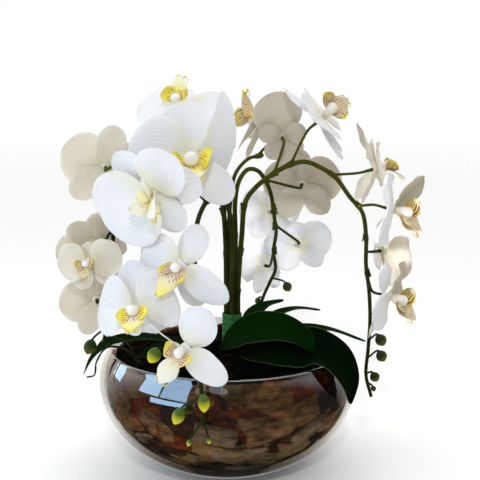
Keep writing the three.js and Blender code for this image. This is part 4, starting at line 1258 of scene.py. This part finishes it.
build_bowl()
build_bark()
build_moss()
build_sleeve()
for spike_name in SPIKES:
    build_spike(spike_name)
    build_blooms(spike_name)
for leaf_name, leaf in LEAVES.items():
    build_leaf(leaf_name, **leaf)
build_roots()
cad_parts["floral_foam"].data.materials.clear()
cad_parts["floral_foam"].data.materials.append(foam_material())


# Floor, lights and camera

def add_plain(name, points, faces, material):
    mesh = bpy.data.meshes.new(name)
    mesh.from_pydata([tuple(point) for point in points], [], faces)
    mesh.materials.append(material)
    return add_object(name, mesh)


def add_floor():
    """A pale floor that fades out round the bowl. Reflections don't show it."""
    n = Nodes("floor_pale")
    n.set(Base_Color=n.mix(n.noise(6, 2), (0.93, 0.93, 0.92), (0.95, 0.95, 0.94)))
    n.set(Roughness=0.8, Emission_Color=(1, 1, 1), Emission_Strength=FLOOR_GLOW)
    vector = n.stretched(n.place(), (FLOOR_FADE, FLOOR_FADE, FLOOR_FADE))
    spread = n.node("ShaderNodeTexGradient", {"Vector": vector}, gradient_type="SPHERICAL")
    n.set(Alpha=n.times(spread.outputs["Fac"], FLOOR_FADE_GAIN, clamp=True))
    corners = [(x * FLOOR_REACH, y * FLOOR_REACH, 0) for x, y in ((-1, -1), (1, -1), (1, 1), (-1, 1))]
    floor = add_plain("floor", corners, [(0, 1, 2, 3)], n.data)
    floor.location.z = -FLOOR_DROP
    floor.visible_glossy = False


def add_backdrop():
    """A plain white wall all round, far off, which lights nothing."""
    n = Nodes("backdrop_white")
    n.set(Base_Color=(0, 0, 0), Specular_IOR_Level=0, Emission_Color=(1, 1, 1), Emission_Strength=1)
    n.data.cycles.emission_sampling = "NONE"
    turns = np.linspace(-math.pi / 2, math.pi / 2, 17)
    profile = [(BACKDROP_REACH * math.cos(turn), BACKDROP_REACH * math.sin(turn)) for turn in turns]
    points, faces, _ = lathe(profile, segments=32)
    backdrop = add_plain("backdrop", points, faces, n.data)
    for rays in ("diffuse", "glossy", "transmission", "shadow"):
        setattr(backdrop, f"visible_{rays}", False)


def add_area_light(name, place, target, size, power, colour=(1, 1, 1)):
    data = bpy.data.lights.new(name, "AREA")
    data.shape = "RECTANGLE"
    data.size, data.size_y = size
    data.energy = power
    data.color = colour
    light = add_object(name, data)
    light.location = place
    light.rotation_euler = (Vector(target) - Vector(place)).to_track_quat("-Z", "Y").to_euler()
    return light


def add_world():
    """A pale studio: bright overhead and behind, and dim on the camera's side."""
    n = Nodes("studio", bpy.data.worlds, "Background")
    _, y, z = n.split(n.place("Generated"))
    high = n.math("MULTIPLY_ADD", y, SKY_BACK_SHARE, z)
    n.set(Color=(1, 1, 1), Strength=n.span(high, SKY_DARKEST, SKY_BRIGHTEST, full=SKY_FULL_AT))
    bpy.context.scene.world = n.data


def add_window(name, azimuth, across, upward, power, colour):
    """A pane of soft light. across and upward are its spans in metres on a wall that faces the bowl."""
    angle = math.radians(azimuth)
    toward = Vector((math.sin(angle), -math.cos(angle), 0))
    side = Vector((math.cos(angle), math.sin(angle), 0))
    middle = toward * WALL_DISTANCE + side * (sum(across) / 2) + Vector((0, 0, sum(upward) / 2))
    size = (across[1] - across[0], upward[1] - upward[0])
    return add_area_light(name, middle, middle - toward, size, power, colour)


def add_lights():
    """Windows that only reflections show, an overhead light, and soft lights that no reflection shows."""
    for name, values in PANES.items():
        add_window(name, *values, PANE_COLOUR).visible_diffuse = False
    soft = [add_window(name, *values, DAYLIGHT_COLOUR) for name, values in DAYLIGHT.items()]
    add_area_light("overhead", *OVERHEAD)
    soft.append(add_area_light("front", *FRONT))
    for name, (place, target, power) in BEAMS.items():
        beam = add_area_light(name, place, target, BEAM_SIZE, power)
        beam.data.spread = math.radians(BEAM_SPREAD)
        soft.append(beam)
    for light in soft:
        light.visible_glossy = False


def add_camera():
    data = bpy.data.cameras.new("camera")
    data.sensor_width = SENSOR_WIDTH
    data.lens = FOCAL_LENGTH / PHOTO_SIZE * SENSOR_WIDTH
    data.clip_end = 50
    camera = add_object("camera", data)
    camera.location = CAMERA_PLACE
    camera.rotation_euler = (math.radians(90 - CAMERA_DROP), 0, 0)
    bpy.context.scene.camera = camera


add_floor()
add_backdrop()
add_world()
add_lights()
add_camera()
bpy.context.scene.view_settings.view_transform = "Standard"
